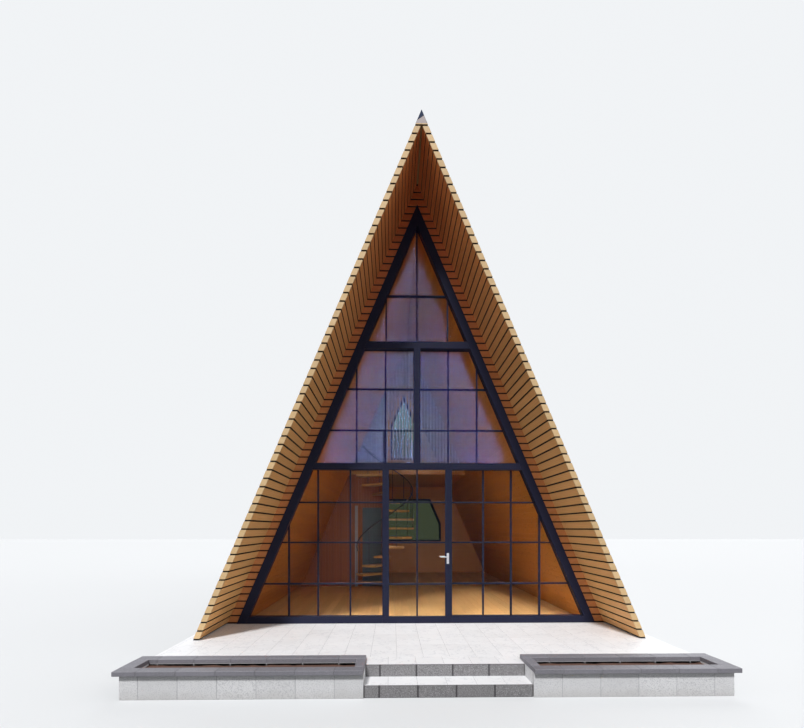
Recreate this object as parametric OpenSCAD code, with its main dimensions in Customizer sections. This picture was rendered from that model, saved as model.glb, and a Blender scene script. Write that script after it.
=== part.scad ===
// A-frame cabin with a glazed front gable, a deep roof overhang, a raised terrace and two planters.
// Lengths are in millimetres. X runs to the right, Y to the rear and Z up. The origin lies on the
// ground, on the centre line, below the front face of the glazing frame.

/* [Form] */
// Height of the outer ridge line above the ground
ridge_h = 7379; // [7300:5:7600]
// Angle between a plumb line and each roof slope
half_apex = 23.2; // [23:0.1:24]
// Distance from the front of the glazing frame to the face of the rear wall
house_l = 9000; // [8600:50:10000]
// How far the roof runs past the front frame and past the rear wall
overhang = 1140; // [900:10:1400]
// Height of the floor and the terrace above the ground
floor_h = 255; // [235:5:280]

/* [Roof] */
// Thickness of the weatherproof covering
covering_t = 10; // [6:1:14]
// Thickness of the structural deck
deck_t = 45; // [35:1:60]
// Thickness of the soffit boards
soffit_t = 20; // [16:1:28]
// Thickness of the boards that close the roof's front and rear edges
fascia_t = 20; // [16:1:28]
// Depth of the insulated rafters with their inner lining
panel_t = 238; // [220:2:250]
// Height of the folded ridge cap
cap_h = 185; // [150:5:210]
// Sheet thickness of the ridge cap
cap_t = 4; // [3:0.5:6]
// Width of the mitre joint between left and right boards at the ridge
mitre_w = 2; // [1:0.5:4]

/* [Front glazing] */
// Width of the boarded band between the soffit and the black frame
band_w = 131; // [115:1:145]
// How far the boarded band stands behind the front of the frame
band_setback = 15; // [5:1:30]
// Face width of the sloping frame members
rake_w = 128; // [110:1:140]
// Depth of the frame members from front to back
frame_d = 160; // [150:2:190]
// Distance from the front of the frame to the glass
glass_setback = 115; // [90:1:120]
// Thickness of a double glazing unit
glass_t = 24; // [20:1:28]
// How far the glass is let into the frame
glass_bite = 12; // [8:1:16]
// Play round the edge of the glass in its groove
glass_play = 3; // [1:0.5:5]
// Height of the main transom's underside above the floor
transom_z = 2422; // [2300:5:2500]
// Face height of the main transom
transom_h = 104; // [95:1:130]
// Height of the upper transom's underside above the floor
upper_transom_z = 4333; // [4100:5:4500]
// Face height of the upper transom
upper_transom_h = 110; // [90:1:130]
// Height of the bottom rail
bottom_rail_h = 105; // [90:1:130]
// Width of the centre post between the two transoms
centre_post_w = 104; // [90:1:120]

/* [Front door] */
// Half width from the centre line to the outer side of a door post
door_half_w = 550; // [520:5:600]
// Width of a door post
door_post_w = 30; // [25:1:40]
// Depth of the pocket behind the hinge side of the leaf
hinge_pocket = 15; // [13:0.5:16]
// Running gap round the leaf
door_gap = 6; // [5.5:0.5:8]
// Thickness of the leaf
leaf_t = 75; // [68:1:80]
// Width of the leaf's stiles
stile_w = 69; // [62:1:80]
// Height of the leaf's top rail
leaf_top_rail_h = 44; // [38:1:60]
// Height of the leaf's bottom rail
leaf_bottom_rail_h = 79; // [70:1:95]
// Bevel on the latch edge that lets the leaf swing past its post
latch_bevel = 4; // [4:0.5:6]
// Height of the threshold
threshold_h = 20; // [12:1:24]
// Distance from the back of the leaf to its glass
leaf_glass_setback = 6; // [5:1:12]

/* [Door furniture] */
// Distance from the leaf's latch edge to the lever spindle
spindle_inset = 31; // [28:1:34]
// Height of the lever spindle above the floor
spindle_z = 1045; // [1000:5:1100]
// Width of a handle plate
plate_w = 36; // [32:1:42]
// Height of a handle plate
plate_h = 170; // [150:2:200]
// Thickness of a handle plate
plate_t = 8; // [6:0.5:10]
// Radius of a handle plate's corners
plate_corner_r = 9; // [4:0.5:14]
// Distance from the spindle to the top of the plate
plate_above = 60; // [50:1:75]
// Diameter of the spindle
spindle_d = 9; // [8:0.5:12]
// Play round the spindle in the leaf and the plates
spindle_play = 1; // [0.5:0.1:1.5]
// Diameter of the lever's neck and arm
lever_d = 18; // [16:0.5:20]
// Length of the lever from the spindle to its tip
lever_l = 125; // [110:1:140]
// Clear space between the plate and the lever's arm
lever_clear = 34; // [30:1:45]
// Diameter of a hinge knuckle
knuckle_d = 14; // [13:0.5:15]
// Diameter of a hinge pin
pin_d = 8; // [6:0.5:8.5]
// Height of one hinge knuckle
knuckle_h = 50; // [40:1:60]
// Distance from the leaf's hinge edge to the hinge pin
hinge_out = 11; // [10:0.5:12]
// Distance from the back of the leaf to the hinge pin
hinge_back = 10; // [9:0.5:12]
// Length of a hinge flap
flap_l = 40; // [30:1:45]
// Thickness of a hinge flap
flap_t = 3; // [2:0.5:4]
// Thickness of the web between a knuckle and its flap
web_t = 7; // [5:0.5:8]
// Height of the lowest hinge above the floor
hinge_low_z = 260; // [180:10:400]
// Distance from one hinge to the next
hinge_step = 960; // [800:10:1000]
// Number of hinges
hinge_n = 3; // [2:1:3]

/* [Terrace and planters] */
// How far the plinth reaches past the foot of the roof at each side
plinth_margin = 127; // [60:1:160]
// How far the plinth reaches past the roof at the rear
plinth_rear = 40; // [20:5:80]
// Distance from the frame to the front edge of the terrace
terrace_l = 2340; // [2250:5:2450]
// Depth of the lower step's tread
tread_l = 317; // [290:1:340]
// How far the house slab reaches in front of the frame, under the terrace tiles
slab_lip = 60; // [40:5:100]
// Width of the steps between the planters
step_w = 1760; // [1600:10:1900]
// Sideways place of the middle of the steps
step_x = 190; // [150:5:230]
// Thickness of the terrace tiles
tile_t = 20; // [15:1:30]
// Thickness of the stone risers
riser_t = 20; // [15:1:30]
// How far the planters stand in front of the lower step
planter_reach = 13; // [5:1:80]
// Depth of a planter
planter_d = 520; // [480:5:560]
// Thickness of a planter wall
planter_wall_t = 100; // [80:5:130]
// How far the planter coping hangs past the wall
coping_reach = 50; // [30:1:60]
// Thickness of the planter coping
coping_t = 48; // [40:1:60]
// Height of the coping's top above the floor
coping_z = 48; // [40:1:65]
// Depth of the soil's surface below the top of the planter wall
soil_drop = 12; // [5:1:30]

/* [Rear wall] */
// Thickness of the rear wall
rear_wall_t = 160; // [140:5:180]
// Face width of the rear window frames
rear_frame_w = 60; // [45:1:80]
// Depth of the rear window frames
rear_frame_d = 120; // [100:1:140]
// Half width of the lower rear window
low_win_half = 1256; // [1150:5:1300]
// Sill height of the lower rear window above the floor
low_win_sill = 1044; // [950:5:1100]
// Height above the floor at which the lower window's sides start to lean in
low_win_shoulder = 1652; // [1500:5:1750]
// Height of the lower rear window's head above the floor
low_win_head = 2480; // [2400:5:2550]
// Half width of the upper rear window
up_win_half = 450; // [400:5:500]
// Sill height of the upper rear window above the floor
up_win_sill = 3800; // [3700:5:3900]
// Height above the floor at which the upper window's sides start to lean in
up_win_shoulder = 4950; // [4700:5:5000]

/* [Interior] */
// Thickness of the floor boards
board_t = 25; // [18:1:35]
// Distance from the frame to the loft's front edge
loft_y = 4900; // [4880:10:5300]
// Height of the loft floor above the ground floor
loft_z = 3020; // [2960:5:3080]
// Thickness of the loft floor
loft_t = 140; // [110:5:180]
// Thickness of the inner partitions
partition_t = 100; // [80:5:120]
// Place of the partitions' free edge left of the centre line
partition_x = 560; // [500:5:620]
// Centre distance of the loft screen's slats
slat_pitch = 80; // [70:1:95]
// Width of a slat
slat_w = 35; // [28:1:45]
// Depth of a slat from front to back
slat_d = 50; // [40:1:70]
// Height of the rail that carries the slats
slat_rail_h = 60; // [40:1:90]
// Least clear space between the handrail and the sloping lining
stair_gap = 92; // [60:1:150]
// Distance from the frame to the stair's pole
pole_y = 4100; // [4000:10:4150]
// Diameter of the stair's pole
pole_d = 90; // [70:1:110]
// Outer radius of the stair's treads
tread_r = 700; // [650:5:740]
// Number of risers from floor to loft
riser_n = 14; // [13:1:15]
// Thickness of a stair tread
tread_t = 45; // [35:1:55]
// Turn from one tread to the next
tread_turn = 28; // [26:0.5:30]
// Angle by which each tread reaches under the next, at either side
tread_lap = 2; // [1:0.5:4]
// Direction of the first tread, anticlockwise from the right
first_turn = -178; // [-190:1:-170]
// Height of the handrail above the treads
rail_h = 840; // [800:5:950]
// Diameter of the handrail
rail_d = 30; // [24:1:40]
// Diameter of a baluster
baluster_d = 14; // [12:1:18]

/* [Hidden] */

// How far a cut runs past the face that it opens
cut = 1;
// Gap between pieces that turn or slide on each other
running = 0.1;
// Gap between the lever's neck and its plate
neck_gap = 0.3;
// Gap between the inner pieces and the roof lining
lining_gap = 0.3;
// Gap between a baluster's top and the flat underside of the handrail
rail_seat = 0.3;
// Facets of a round piece
round_n = 48;

// Colours of the materials
c_concrete = [0.72, 0.71, 0.69];
c_tile = [0.86, 0.86, 0.88];
c_granite = [0.23, 0.23, 0.25];
c_planter = [0.74, 0.74, 0.76];
c_coping = [0.27, 0.27, 0.30];
c_soil = [0.29, 0.21, 0.16];
c_covering = [0.66, 0.65, 0.67];
c_deck = [0.16, 0.11, 0.08];
c_board = [0.62, 0.36, 0.18];
c_edge_board = [0.83, 0.62, 0.40];
c_lining = [0.75, 0.44, 0.17];
c_cap = [0.22, 0.22, 0.26];
c_frame = [0.04, 0.05, 0.09];
c_glass = [0.62, 0.66, 0.78, 0.4];
c_silver = [0.80, 0.80, 0.82];
c_floor = [0.86, 0.62, 0.33];
c_partition = [0.42, 0.44, 0.45];

// Depths of the roof's layers, square to the slope, from the outer surface inwards
deck_in = covering_t + deck_t;
soffit_in = deck_in + soffit_t;
panel_in = deck_in + panel_t;
rake_out = soffit_in + band_w;
rake_in = rake_out + rake_w;

// Places along the length of the house
roof_front = -overhang;
roof_rear = house_l + overhang;
rear_wall_y = house_l - rear_wall_t;

// Heights above the ground
cap_base = ridge_h - cap_h;
transom_low = floor_h + transom_z;
transom_top = transom_low + transom_h;
upper_low = floor_h + upper_transom_z;
upper_top = upper_low + upper_transom_h;
rail_top = floor_h + bottom_rail_h;

// Widths that follow from the roof
plinth_half = half_w(0, floor_h) + plinth_margin;
room_half = half_w(panel_in, floor_h);

// Steps
step_rise = floor_h / 2;
step_left = step_x - step_w / 2;
step_right = step_x + step_w / 2;
step_front = terrace_l + tread_l;
planter_front = step_front + planter_reach;
planter_back = planter_front - planter_d;
planter_h = floor_h + coping_z - coping_t;

// Door
leaf_half = door_half_w - door_post_w - door_gap;
leaf_low = floor_h + threshold_h + door_gap;
leaf_top = transom_low + leaf_top_rail_h;
pane_half = leaf_half - stile_w;
spindle_x = leaf_half - spindle_inset;
spindle_h = floor_h + spindle_z;
lever_y = plate_t + lever_clear + lever_d / 2;
spindle_hole_r = spindle_d / 2 + spindle_play;
hinge_x = -leaf_half - hinge_out;
hinge_y = leaf_t + hinge_back;
head_half = door_half_w - door_post_w;
post_face_x = -head_half - hinge_pocket;

// Rear windows
groove = glass_bite + glass_play;
rear_frame_back = house_l - (rear_wall_t - rear_frame_d) / 2;
rear_frame_front = rear_frame_back - rear_frame_d;
rear_glass_y = (rear_frame_front + rear_frame_back - glass_t) / 2;

// Loft, and the depth at which inner pieces end below the roof's surface
loft_low = floor_h + loft_z - loft_t;
loft_top = floor_h + loft_z;
inner_in = panel_in + lining_gap;

// Stair. The handrail follows the edge of the treads on a baluster a tread, up to the last tread but one,
// where the lining closes in. The pole stands where the rail keeps its clear space to the lining.
riser_h = loft_z / riser_n;
tread_n = riser_n - 1;
rail_n = tread_n - 1;
rail_r = tread_r - rail_d;
rail_slope = atan(riser_h / (rail_r * tread_turn * PI / 180));
rail_sides = 8;
ring_step = 1 / 2;
rail_rings = [for (n = [1 - ring_step : ring_step : rail_n + ring_step]) n];
rail_flat = rail_d / 2 * cos(180 / rail_sides);
pole_x = min([for (n = rail_rings)
    half_w(panel_in, floor_h + n * riser_h + rail_h) + rail_r * cos(tread_angle(n))])
    - rail_d / 2 - stair_gap;

// Height at which a plane at this depth below the roof's surface meets the centre line
function apex_z(depth) = ridge_h - depth / sin(half_apex);

// Half width of the section at this depth below the roof's surface and this height
function half_w(depth, z) = (apex_z(depth) - z) * tan(half_apex);

// Height at which that plane comes within a side distance of the centre line
function meet_z(depth, x) = apex_z(depth) - x / tan(half_apex);

// Outline of one layer of the right slope, cut level at z_low and z_top and plumb at a side distance
function slope_outline(d_out, d_in, z_low, z_top, x = 0) =
    z_top <= meet_z(d_in, x)
        ? [[half_w(d_out, z_low), z_low], [half_w(d_out, z_top), z_top],
           [half_w(d_in, z_top), z_top], [half_w(d_in, z_low), z_low]]
    : z_top < meet_z(d_out, x)
        ? [[half_w(d_out, z_low), z_low], [half_w(d_out, z_top), z_top],
           [x, z_top], [x, meet_z(d_in, x)], [half_w(d_in, z_low), z_low]]
        : [[half_w(d_out, z_low), z_low], [x, meet_z(d_out, x)],
           [x, meet_z(d_in, x)], [half_w(d_in, z_low), z_low]];

function mirrored(points, side) = [for (p = points) [side * p[0], p[1]]];

// Pane outlines, grown by a margin on every side
function top_pane(grow) =
    let (z = upper_top - grow, d = rake_in - grow)
    [[-half_w(d, z), z], [half_w(d, z), z], [0, apex_z(d)]];

function side_pane(side, x_in, z_low, z_top, grow) =
    let (d = rake_in - grow, z0 = z_low - grow, z1 = z_top + grow, x = x_in - grow)
    mirrored([[x, z0], [half_w(d, z0), z0], [half_w(d, z1), z1], [x, z1]], side);

function middle_pane(side, grow) = side_pane(side, centre_post_w / 2, transom_top, upper_low, grow);

function lower_pane(side, grow) = side_pane(side, door_half_w, rail_top, transom_low, grow);

// Rear window outlines: plumb sides that lean in with the roof above the shoulder
function low_window(grow) =
    let (x = low_win_half + grow, z0 = floor_h + low_win_sill - grow, z2 = floor_h + low_win_head + grow,
         z1 = floor_h + low_win_shoulder + grow * tan(45 - half_apex / 2),
         x2 = x - (z2 - z1) * tan(half_apex))
    [[-x, z0], [x, z0], [x, z1], [x2, z2], [-x2, z2], [-x, z1]];

function up_window(grow) =
    let (x = up_win_half + grow, z0 = floor_h + up_win_sill - grow,
         z1 = floor_h + up_win_shoulder + grow * tan(45 - half_apex / 2))
    [[-x, z0], [x, z0], [x, z1], [0, z1 + x / tan(half_apex)], [-x, z1]];

// A plumb plate with this outline in X and Z, between two places along Y
module plate(points, y_front, y_back) {
    translate([0, y_back, 0])
        rotate([90, 0, 0])
            linear_extrude(y_back - y_front)
                polygon(points);
}

module box(low, high) {
    translate(low)
        cube(high - low);
}

// One layer of one roof slope
module slope(side, y_front, y_back, d_out, d_in, z_top = cap_base, x = 0) {
    plate(mirrored(slope_outline(d_out, d_in, floor_h, z_top, x), side), y_front, y_back);
}

// A cylinder along Y
module rod_y(r, y_front, y_back) {
    translate([0, y_back, 0])
        rotate([90, 0, 0])
            cylinder(h = y_back - y_front, r = r, $fn = round_n);
}

module foundation_slab() {
    color(c_concrete)
        difference() {
            union() {
                box([-plinth_half, 0, 0], [plinth_half, roof_rear + plinth_rear, floor_h]);
                box([-plinth_half, -slab_lip, 0], [plinth_half, 0, floor_h - tile_t]);
            }
            box([-room_half, frame_d, floor_h - board_t], [room_half, rear_wall_y, floor_h + cut]);
        }
}

module floor_boards() {
    color(c_floor)
        box([-room_half, frame_d, floor_h - board_t], [room_half, rear_wall_y, floor_h]);
}

// Plan of the terrace, with a tongue between the planters, from this place along Y forwards
module terrace_plan(y_back) {
    polygon([[-plinth_half, y_back], [-plinth_half, -planter_back], [step_left, -planter_back],
             [step_left, riser_t - terrace_l], [step_right, riser_t - terrace_l],
             [step_right, -planter_back], [plinth_half, -planter_back], [plinth_half, y_back]]);
}

module terrace_slab() {
    color(c_concrete)
        linear_extrude(floor_h - tile_t)
            terrace_plan(-slab_lip);
}

module terrace_tiles() {
    color(c_tile) {
        translate([0, 0, floor_h - tile_t])
            linear_extrude(tile_t)
                terrace_plan(0);
        box([step_left, riser_t - step_front, step_rise - tile_t], [step_right, -terrace_l, step_rise]);
    }
}

module step_risers() {
    color(c_granite) {
        box([step_left, -terrace_l, 0], [step_right, riser_t - terrace_l, floor_h]);
        box([step_left, -step_front, 0], [step_right, riser_t - step_front, step_rise]);
    }
}

module lower_step() {
    color(c_concrete)
        box([step_left, riser_t - step_front, 0], [step_right, -terrace_l, step_rise - tile_t]);
}

// A rectangular ring round a planter's soil, which may reach past the wall on three sides
module planter_ring(x_left, x_right, reach_left, reach_right, reach, z_low, z_top) {
    difference() {
        box([x_left - reach_left, -planter_front - reach, z_low],
            [x_right + reach_right, -planter_back + reach, z_top]);
        box([x_left + planter_wall_t, -planter_front + planter_wall_t, z_low - cut],
            [x_right - planter_wall_t, -planter_back - planter_wall_t, z_top + cut]);
    }
}

module planter_walls() {
    color(c_planter) {
        planter_ring(-plinth_half, step_left, 0, 0, 0, 0, planter_h);
        planter_ring(step_right, plinth_half, 0, 0, 0, 0, planter_h);
    }
}

module planter_copings() {
    color(c_coping) {
        planter_ring(-plinth_half, step_left, coping_reach, 0, coping_reach, planter_h, planter_h + coping_t);
        planter_ring(step_right, plinth_half, 0, coping_reach, coping_reach, planter_h, planter_h + coping_t);
    }
}

module planter_soil() {
    soil_front = -planter_front + planter_wall_t;
    soil_back = -planter_back - planter_wall_t;
    color(c_soil) {
        box([-plinth_half + planter_wall_t, soil_front, 0],
            [step_left - planter_wall_t, soil_back, planter_h - soil_drop]);
        box([step_right + planter_wall_t, soil_front, 0],
            [plinth_half - planter_wall_t, soil_back, planter_h - soil_drop]);
    }
}

module roof_deck(side) {
    color(c_deck)
        slope(side, roof_front + fascia_t, roof_rear - fascia_t, covering_t, deck_in);
}

module left_roof_deck() {
    roof_deck(-1);
}

module right_roof_deck() {
    roof_deck(1);
}

module roof_covering() {
    color(c_covering)
        for (side = [-1, 1])
            slope(side, roof_front + fascia_t, roof_rear - fascia_t, 0, covering_t);
}

module soffit(y_front, y_back) {
    color(c_board)
        for (side = [-1, 1])
            slope(side, y_front, y_back, deck_in, soffit_in, cap_base, mitre_w / 2);
}

module front_soffit() {
    soffit(roof_front + fascia_t, band_setback);
}

module rear_soffit() {
    soffit(house_l, roof_rear - fascia_t);
}

module fascia(y_front) {
    color(c_edge_board)
        for (side = [-1, 1])
            slope(side, y_front, y_front + fascia_t, 0, soffit_in, cap_base, mitre_w / 2);
}

module front_fascia() {
    fascia(roof_front);
}

module rear_fascia() {
    fascia(roof_rear - fascia_t);
}

module roof_panel(side) {
    color(c_lining)
        slope(side, frame_d, rear_wall_y, deck_in, panel_in);
}

module left_roof_panel() {
    roof_panel(-1);
}

module right_roof_panel() {
    roof_panel(1);
}

// Outline of the ridge triangle inside a skin of this thickness, from this height up
function ridge_outline(skin, z_low = cap_base) =
    [[-half_w(skin, z_low), z_low], [half_w(skin, z_low), z_low], [0, apex_z(skin)]];

module ridge_beam() {
    color(c_edge_board)
        plate(ridge_outline(cap_t), roof_front + cap_t, roof_rear - cap_t);
}

module ridge_cap() {
    color(c_cap)
        difference() {
            plate(ridge_outline(0), roof_front, roof_rear);
            plate(ridge_outline(cap_t, cap_base - cut), roof_front + cap_t, roof_rear - cap_t);
        }
}

module front_band(side) {
    color(c_board)
        slope(side, band_setback, frame_d, deck_in, rake_out);
}

module left_front_band() {
    front_band(-1);
}

module right_front_band() {
    front_band(1);
}

// Grooves that hold the fixed glass
module glass_grooves() {
    y_front = glass_setback;
    y_back = glass_setback + glass_t;
    plate(top_pane(groove), y_front, y_back);
    for (side = [-1, 1]) {
        plate(middle_pane(side, groove), y_front, y_back);
        plate(lower_pane(side, groove), y_front, y_back);
    }
}

module rake(side) {
    color(c_frame)
        difference() {
            slope(side, 0, frame_d, rake_out, rake_in, ridge_h);
            glass_grooves();
        }
}

module left_rake() {
    rake(-1);
}

module right_rake() {
    rake(1);
}

module transom(z_low, z_top) {
    plate([[-half_w(rake_in, z_low), z_low], [half_w(rake_in, z_low), z_low],
           [half_w(rake_in, z_top), z_top], [-half_w(rake_in, z_top), z_top]], 0, frame_d);
}

module upper_transom() {
    color(c_frame)
        difference() {
            transom(upper_low, upper_top);
            glass_grooves();
        }
}

// The main transom is notched over the leaf, and behind it the notch runs on over the hinge pocket
module main_transom() {
    color(c_frame)
        difference() {
            transom(transom_low, transom_top);
            glass_grooves();
            box([-head_half, -cut, transom_low - cut], [head_half, frame_d + cut, leaf_top + door_gap]);
            box([post_face_x, leaf_t, transom_low - cut], [head_half, frame_d + cut, leaf_top + door_gap]);
        }
}

module centre_post() {
    color(c_frame)
        difference() {
            box([-centre_post_w / 2, 0, transom_top], [centre_post_w / 2, frame_d, upper_low]);
            glass_grooves();
        }
}

module bottom_rails() {
    color(c_frame)
        for (side = [-1, 1])
            difference() {
                plate(mirrored([[door_half_w, floor_h], [half_w(rake_in, floor_h), floor_h],
                                [half_w(rake_in, rail_top), rail_top], [door_half_w, rail_top]], side),
                      0, frame_d);
                glass_grooves();
            }
}

module left_door_post() {
    color(c_frame)
        difference() {
            box([-door_half_w, 0, floor_h], [-head_half, frame_d, transom_low]);
            box([post_face_x, leaf_t, floor_h - cut], [0, frame_d + cut, transom_low + cut]);
            glass_grooves();
        }
}

module right_door_post() {
    color(c_frame)
        difference() {
            box([head_half, 0, floor_h], [door_half_w, frame_d, transom_low]);
            glass_grooves();
        }
}

module threshold() {
    color(c_silver)
        box([-head_half, 0, floor_h], [head_half, frame_d, floor_h + threshold_h]);
}

module top_glass() {
    color(c_glass)
        plate(top_pane(glass_bite), glass_setback, glass_setback + glass_t);
}

module middle_glass() {
    color(c_glass)
        for (side = [-1, 1])
            plate(middle_pane(side, glass_bite), glass_setback, glass_setback + glass_t);
}

module lower_glass() {
    color(c_glass)
        for (side = [-1, 1])
            plate(lower_pane(side, glass_bite), glass_setback, glass_setback + glass_t);
}

// The leaf's pane, grown by a margin on every side
module leaf_pane(grow) {
    y_back = leaf_t - leaf_glass_setback;
    box([-pane_half - grow, y_back - glass_t, leaf_low + leaf_bottom_rail_h - grow],
        [pane_half + grow, y_back, transom_low + grow]);
}

module door_leaf() {
    color(c_frame)
        difference() {
            leaf_block();
            box([-pane_half, -cut, leaf_low + leaf_bottom_rail_h], [pane_half, leaf_t + cut, transom_low]);
            leaf_pane(groove);
            translate([spindle_x, 0, spindle_h])
                rod_y(spindle_hole_r, -cut, leaf_t + cut);
        }
}

// The leaf's outer block, with its latch edge bevelled towards the front
module leaf_block() {
    translate([0, 0, leaf_low])
        linear_extrude(leaf_top - leaf_low)
            polygon([[-leaf_half, 0], [leaf_half - latch_bevel, 0], [leaf_half, leaf_t], [-leaf_half, leaf_t]]);
}

module door_glass() {
    color(c_glass)
        leaf_pane(glass_bite);
}

// A handle plate with rounded corners, between two places along Y
module handle_plate(y_front, y_back) {
    r = plate_corner_r;
    low = plate_above - plate_h;
    thick = y_back - y_front;
    translate([spindle_x, y_back, spindle_h])
        rotate([90, 0, 0])
            difference() {
                union() {
                    translate([-plate_w / 2 + r, low, 0])
                        cube([plate_w - 2 * r, plate_h, thick]);
                    translate([-plate_w / 2, low + r, 0])
                        cube([plate_w, plate_h - 2 * r, thick]);
                    for (x = [-1, 1], z = [low + r, plate_above - r])
                        translate([x * (plate_w / 2 - r), z, 0])
                            cylinder(h = thick, r = r, $fn = round_n);
                }
                translate([0, 0, -cut])
                    cylinder(h = thick + 2 * cut, r = spindle_hole_r, $fn = round_n);
            }
}

module door_plates() {
    color(c_silver) {
        handle_plate(-plate_t, 0);
        handle_plate(leaf_t, leaf_t + plate_t);
    }
}

// One lever arm at this place along Y, with its neck reaching to the plate
module lever_arm(y_arm, y_plate) {
    rod_y(lever_d / 2, min(y_arm, y_plate), max(y_arm, y_plate));
    for (x = [0, lever_d / 2 - lever_l])
        translate([x, y_arm, 0])
            sphere(r = lever_d / 2, $fn = round_n);
    translate([0, y_arm, 0])
        rotate([0, -90, 0])
            cylinder(h = lever_l - lever_d / 2, r = lever_d / 2, $fn = round_n);
}

module door_lever() {
    color(c_silver)
        translate([spindle_x, 0, spindle_h]) {
            rod_y(spindle_d / 2, -lever_y, leaf_t + lever_y);
            lever_arm(-lever_y, -plate_t - neck_gap);
            lever_arm(leaf_t + lever_y, leaf_t + plate_t + neck_gap);
        }
}

// Calls its children at the foot of each hinge, on the pin's axis
module each_hinge() {
    for (i = [0 : hinge_n - 1])
        translate([hinge_x, hinge_y, floor_h + hinge_low_z + i * hinge_step])
            children();
}

// Lower knuckles with their pins, on flaps in the pocket of the left door post
module frame_hinges() {
    post_x = post_face_x - hinge_x;
    color(c_silver)
        each_hinge() {
            cylinder(h = knuckle_h, r = knuckle_d / 2, $fn = round_n);
            cylinder(h = 2 * knuckle_h - flap_t, r = pin_d / 2, $fn = round_n);
            box([post_x, -web_t / 2, 0], [0, web_t / 2, knuckle_h]);
            box([post_x, -web_t / 2, 0], [post_x + flap_t, flap_l, knuckle_h]);
        }
}

// Upper knuckles that drop over the pins, on flaps behind the leaf
module leaf_hinges() {
    color(c_silver)
        each_hinge()
            translate([0, 0, knuckle_h + running])
                difference() {
                    union() {
                        cylinder(h = knuckle_h, r = knuckle_d / 2, $fn = round_n);
                        box([0, -hinge_back, 0], [hinge_out + web_t, web_t - hinge_back, knuckle_h]);
                        box([hinge_out, -hinge_back, 0], [hinge_out + flap_l, flap_t - hinge_back, knuckle_h]);
                    }
                    translate([0, 0, -cut])
                        cylinder(h = knuckle_h + 2 * cut, r = pin_d / 2 + running, $fn = round_n);
                }
}

module rear_wall() {
    color(c_board)
        difference() {
            plate([[-half_w(deck_in, floor_h), floor_h], [half_w(deck_in, floor_h), floor_h],
                   [half_w(deck_in, cap_base), cap_base], [-half_w(deck_in, cap_base), cap_base]],
                  rear_wall_y, house_l);
            plate(low_window(0), rear_wall_y - cut, house_l + cut);
            plate(up_window(0), rear_wall_y - cut, house_l + cut);
        }
}

module rear_window_frames() {
    color(c_frame)
        difference() {
            union() {
                plate(low_window(0), rear_frame_front, rear_frame_back);
                plate(up_window(0), rear_frame_front, rear_frame_back);
            }
            plate(low_window(-rear_frame_w), rear_wall_y, house_l);
            plate(up_window(-rear_frame_w), rear_wall_y, house_l);
            plate(low_window(groove - rear_frame_w), rear_glass_y, rear_glass_y + glass_t);
            plate(up_window(groove - rear_frame_w), rear_glass_y, rear_glass_y + glass_t);
        }
}

module rear_glass() {
    color(c_glass) {
        plate(low_window(glass_bite - rear_frame_w), rear_glass_y, rear_glass_y + glass_t);
        plate(up_window(glass_bite - rear_frame_w), rear_glass_y, rear_glass_y + glass_t);
    }
}

module loft_floor() {
    color(c_floor)
        plate([[-half_w(inner_in, loft_low), loft_low], [half_w(inner_in, loft_low), loft_low],
               [half_w(inner_in, loft_top), loft_top], [-half_w(inner_in, loft_top), loft_top]],
              loft_y, rear_wall_y);
}

module lower_partition() {
    color(c_lining)
        plate([[-half_w(inner_in, floor_h), floor_h], [-partition_x, floor_h],
               [-partition_x, loft_low], [-half_w(inner_in, loft_low), loft_low]],
              loft_y, loft_y + partition_t);
}

module loft_partition() {
    color(c_partition)
        plate([[-half_w(inner_in, loft_top), loft_top], [-partition_x, loft_top],
               [-partition_x, meet_z(inner_in, partition_x)]],
              loft_y, loft_y + partition_t);
}

// Upright slats from the loft's edge up to the lining, on a rail
module loft_screen() {
    right = half_w(inner_in, loft_top + slat_rail_h);
    slat_n = floor((right - slat_w / 2 + partition_x) / slat_pitch);
    color(c_floor) {
        plate([[-partition_x, loft_top], [half_w(inner_in, loft_top), loft_top],
               [right, loft_top + slat_rail_h], [-partition_x, loft_top + slat_rail_h]],
              loft_y, loft_y + slat_d);
        for (i = [0 : slat_n - 1])
            let (x0 = -partition_x + slat_pitch / 2 + i * slat_pitch - slat_w / 2, x1 = x0 + slat_w)
                plate(concat([[x0, loft_top], [x1, loft_top], [x1, meet_z(inner_in, abs(x1))]],
                             x0 < 0 && x1 > 0 ? [[0, apex_z(inner_in)]] : [],
                             [[x0, meet_z(inner_in, abs(x0))]]),
                      loft_y, loft_y + slat_d);
    }
}

module stair_pole() {
    color(c_frame)
        translate([-pole_x, pole_y, floor_h])
            cylinder(h = loft_z + rail_h, r = pole_d / 2, $fn = round_n);
}

// Direction of a tread, counted from 1 at the bottom
function tread_angle(n) = first_turn + (n - 1) * tread_turn;

// Winding treads, as wide as the pole at the pole and cut round at the outer edge
module stair_treads() {
    outer = tread_r + cut;
    half = outer * tan(tread_turn / 2 + tread_lap);
    color(c_floor)
        for (n = [1 : tread_n])
            translate([-pole_x, pole_y, floor_h + n * riser_h - tread_t])
                rotate([0, 0, tread_angle(n)])
                    difference() {
                        intersection() {
                            cylinder(h = tread_t, r = tread_r, $fn = 2 * round_n);
                            translate([0, 0, -cut])
                                linear_extrude(tread_t + 2 * cut)
                                    polygon([[0, -pole_d / 2], [outer, -half], [outer, half], [0, pole_d / 2]]);
                        }
                        translate([0, 0, -cut])
                            cylinder(h = tread_t + 2 * cut, r = pole_d / 2, $fn = round_n);
                    }
}

// Calls its children on a tread's upper face, below the handrail, with X outwards and Y up the stair
module each_baluster() {
    for (n = [1 : rail_n])
        translate([-pole_x, pole_y, floor_h + n * riser_h])
            rotate([0, 0, tread_angle(n)])
                translate([rail_r, 0, 0])
                    children();
}

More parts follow.
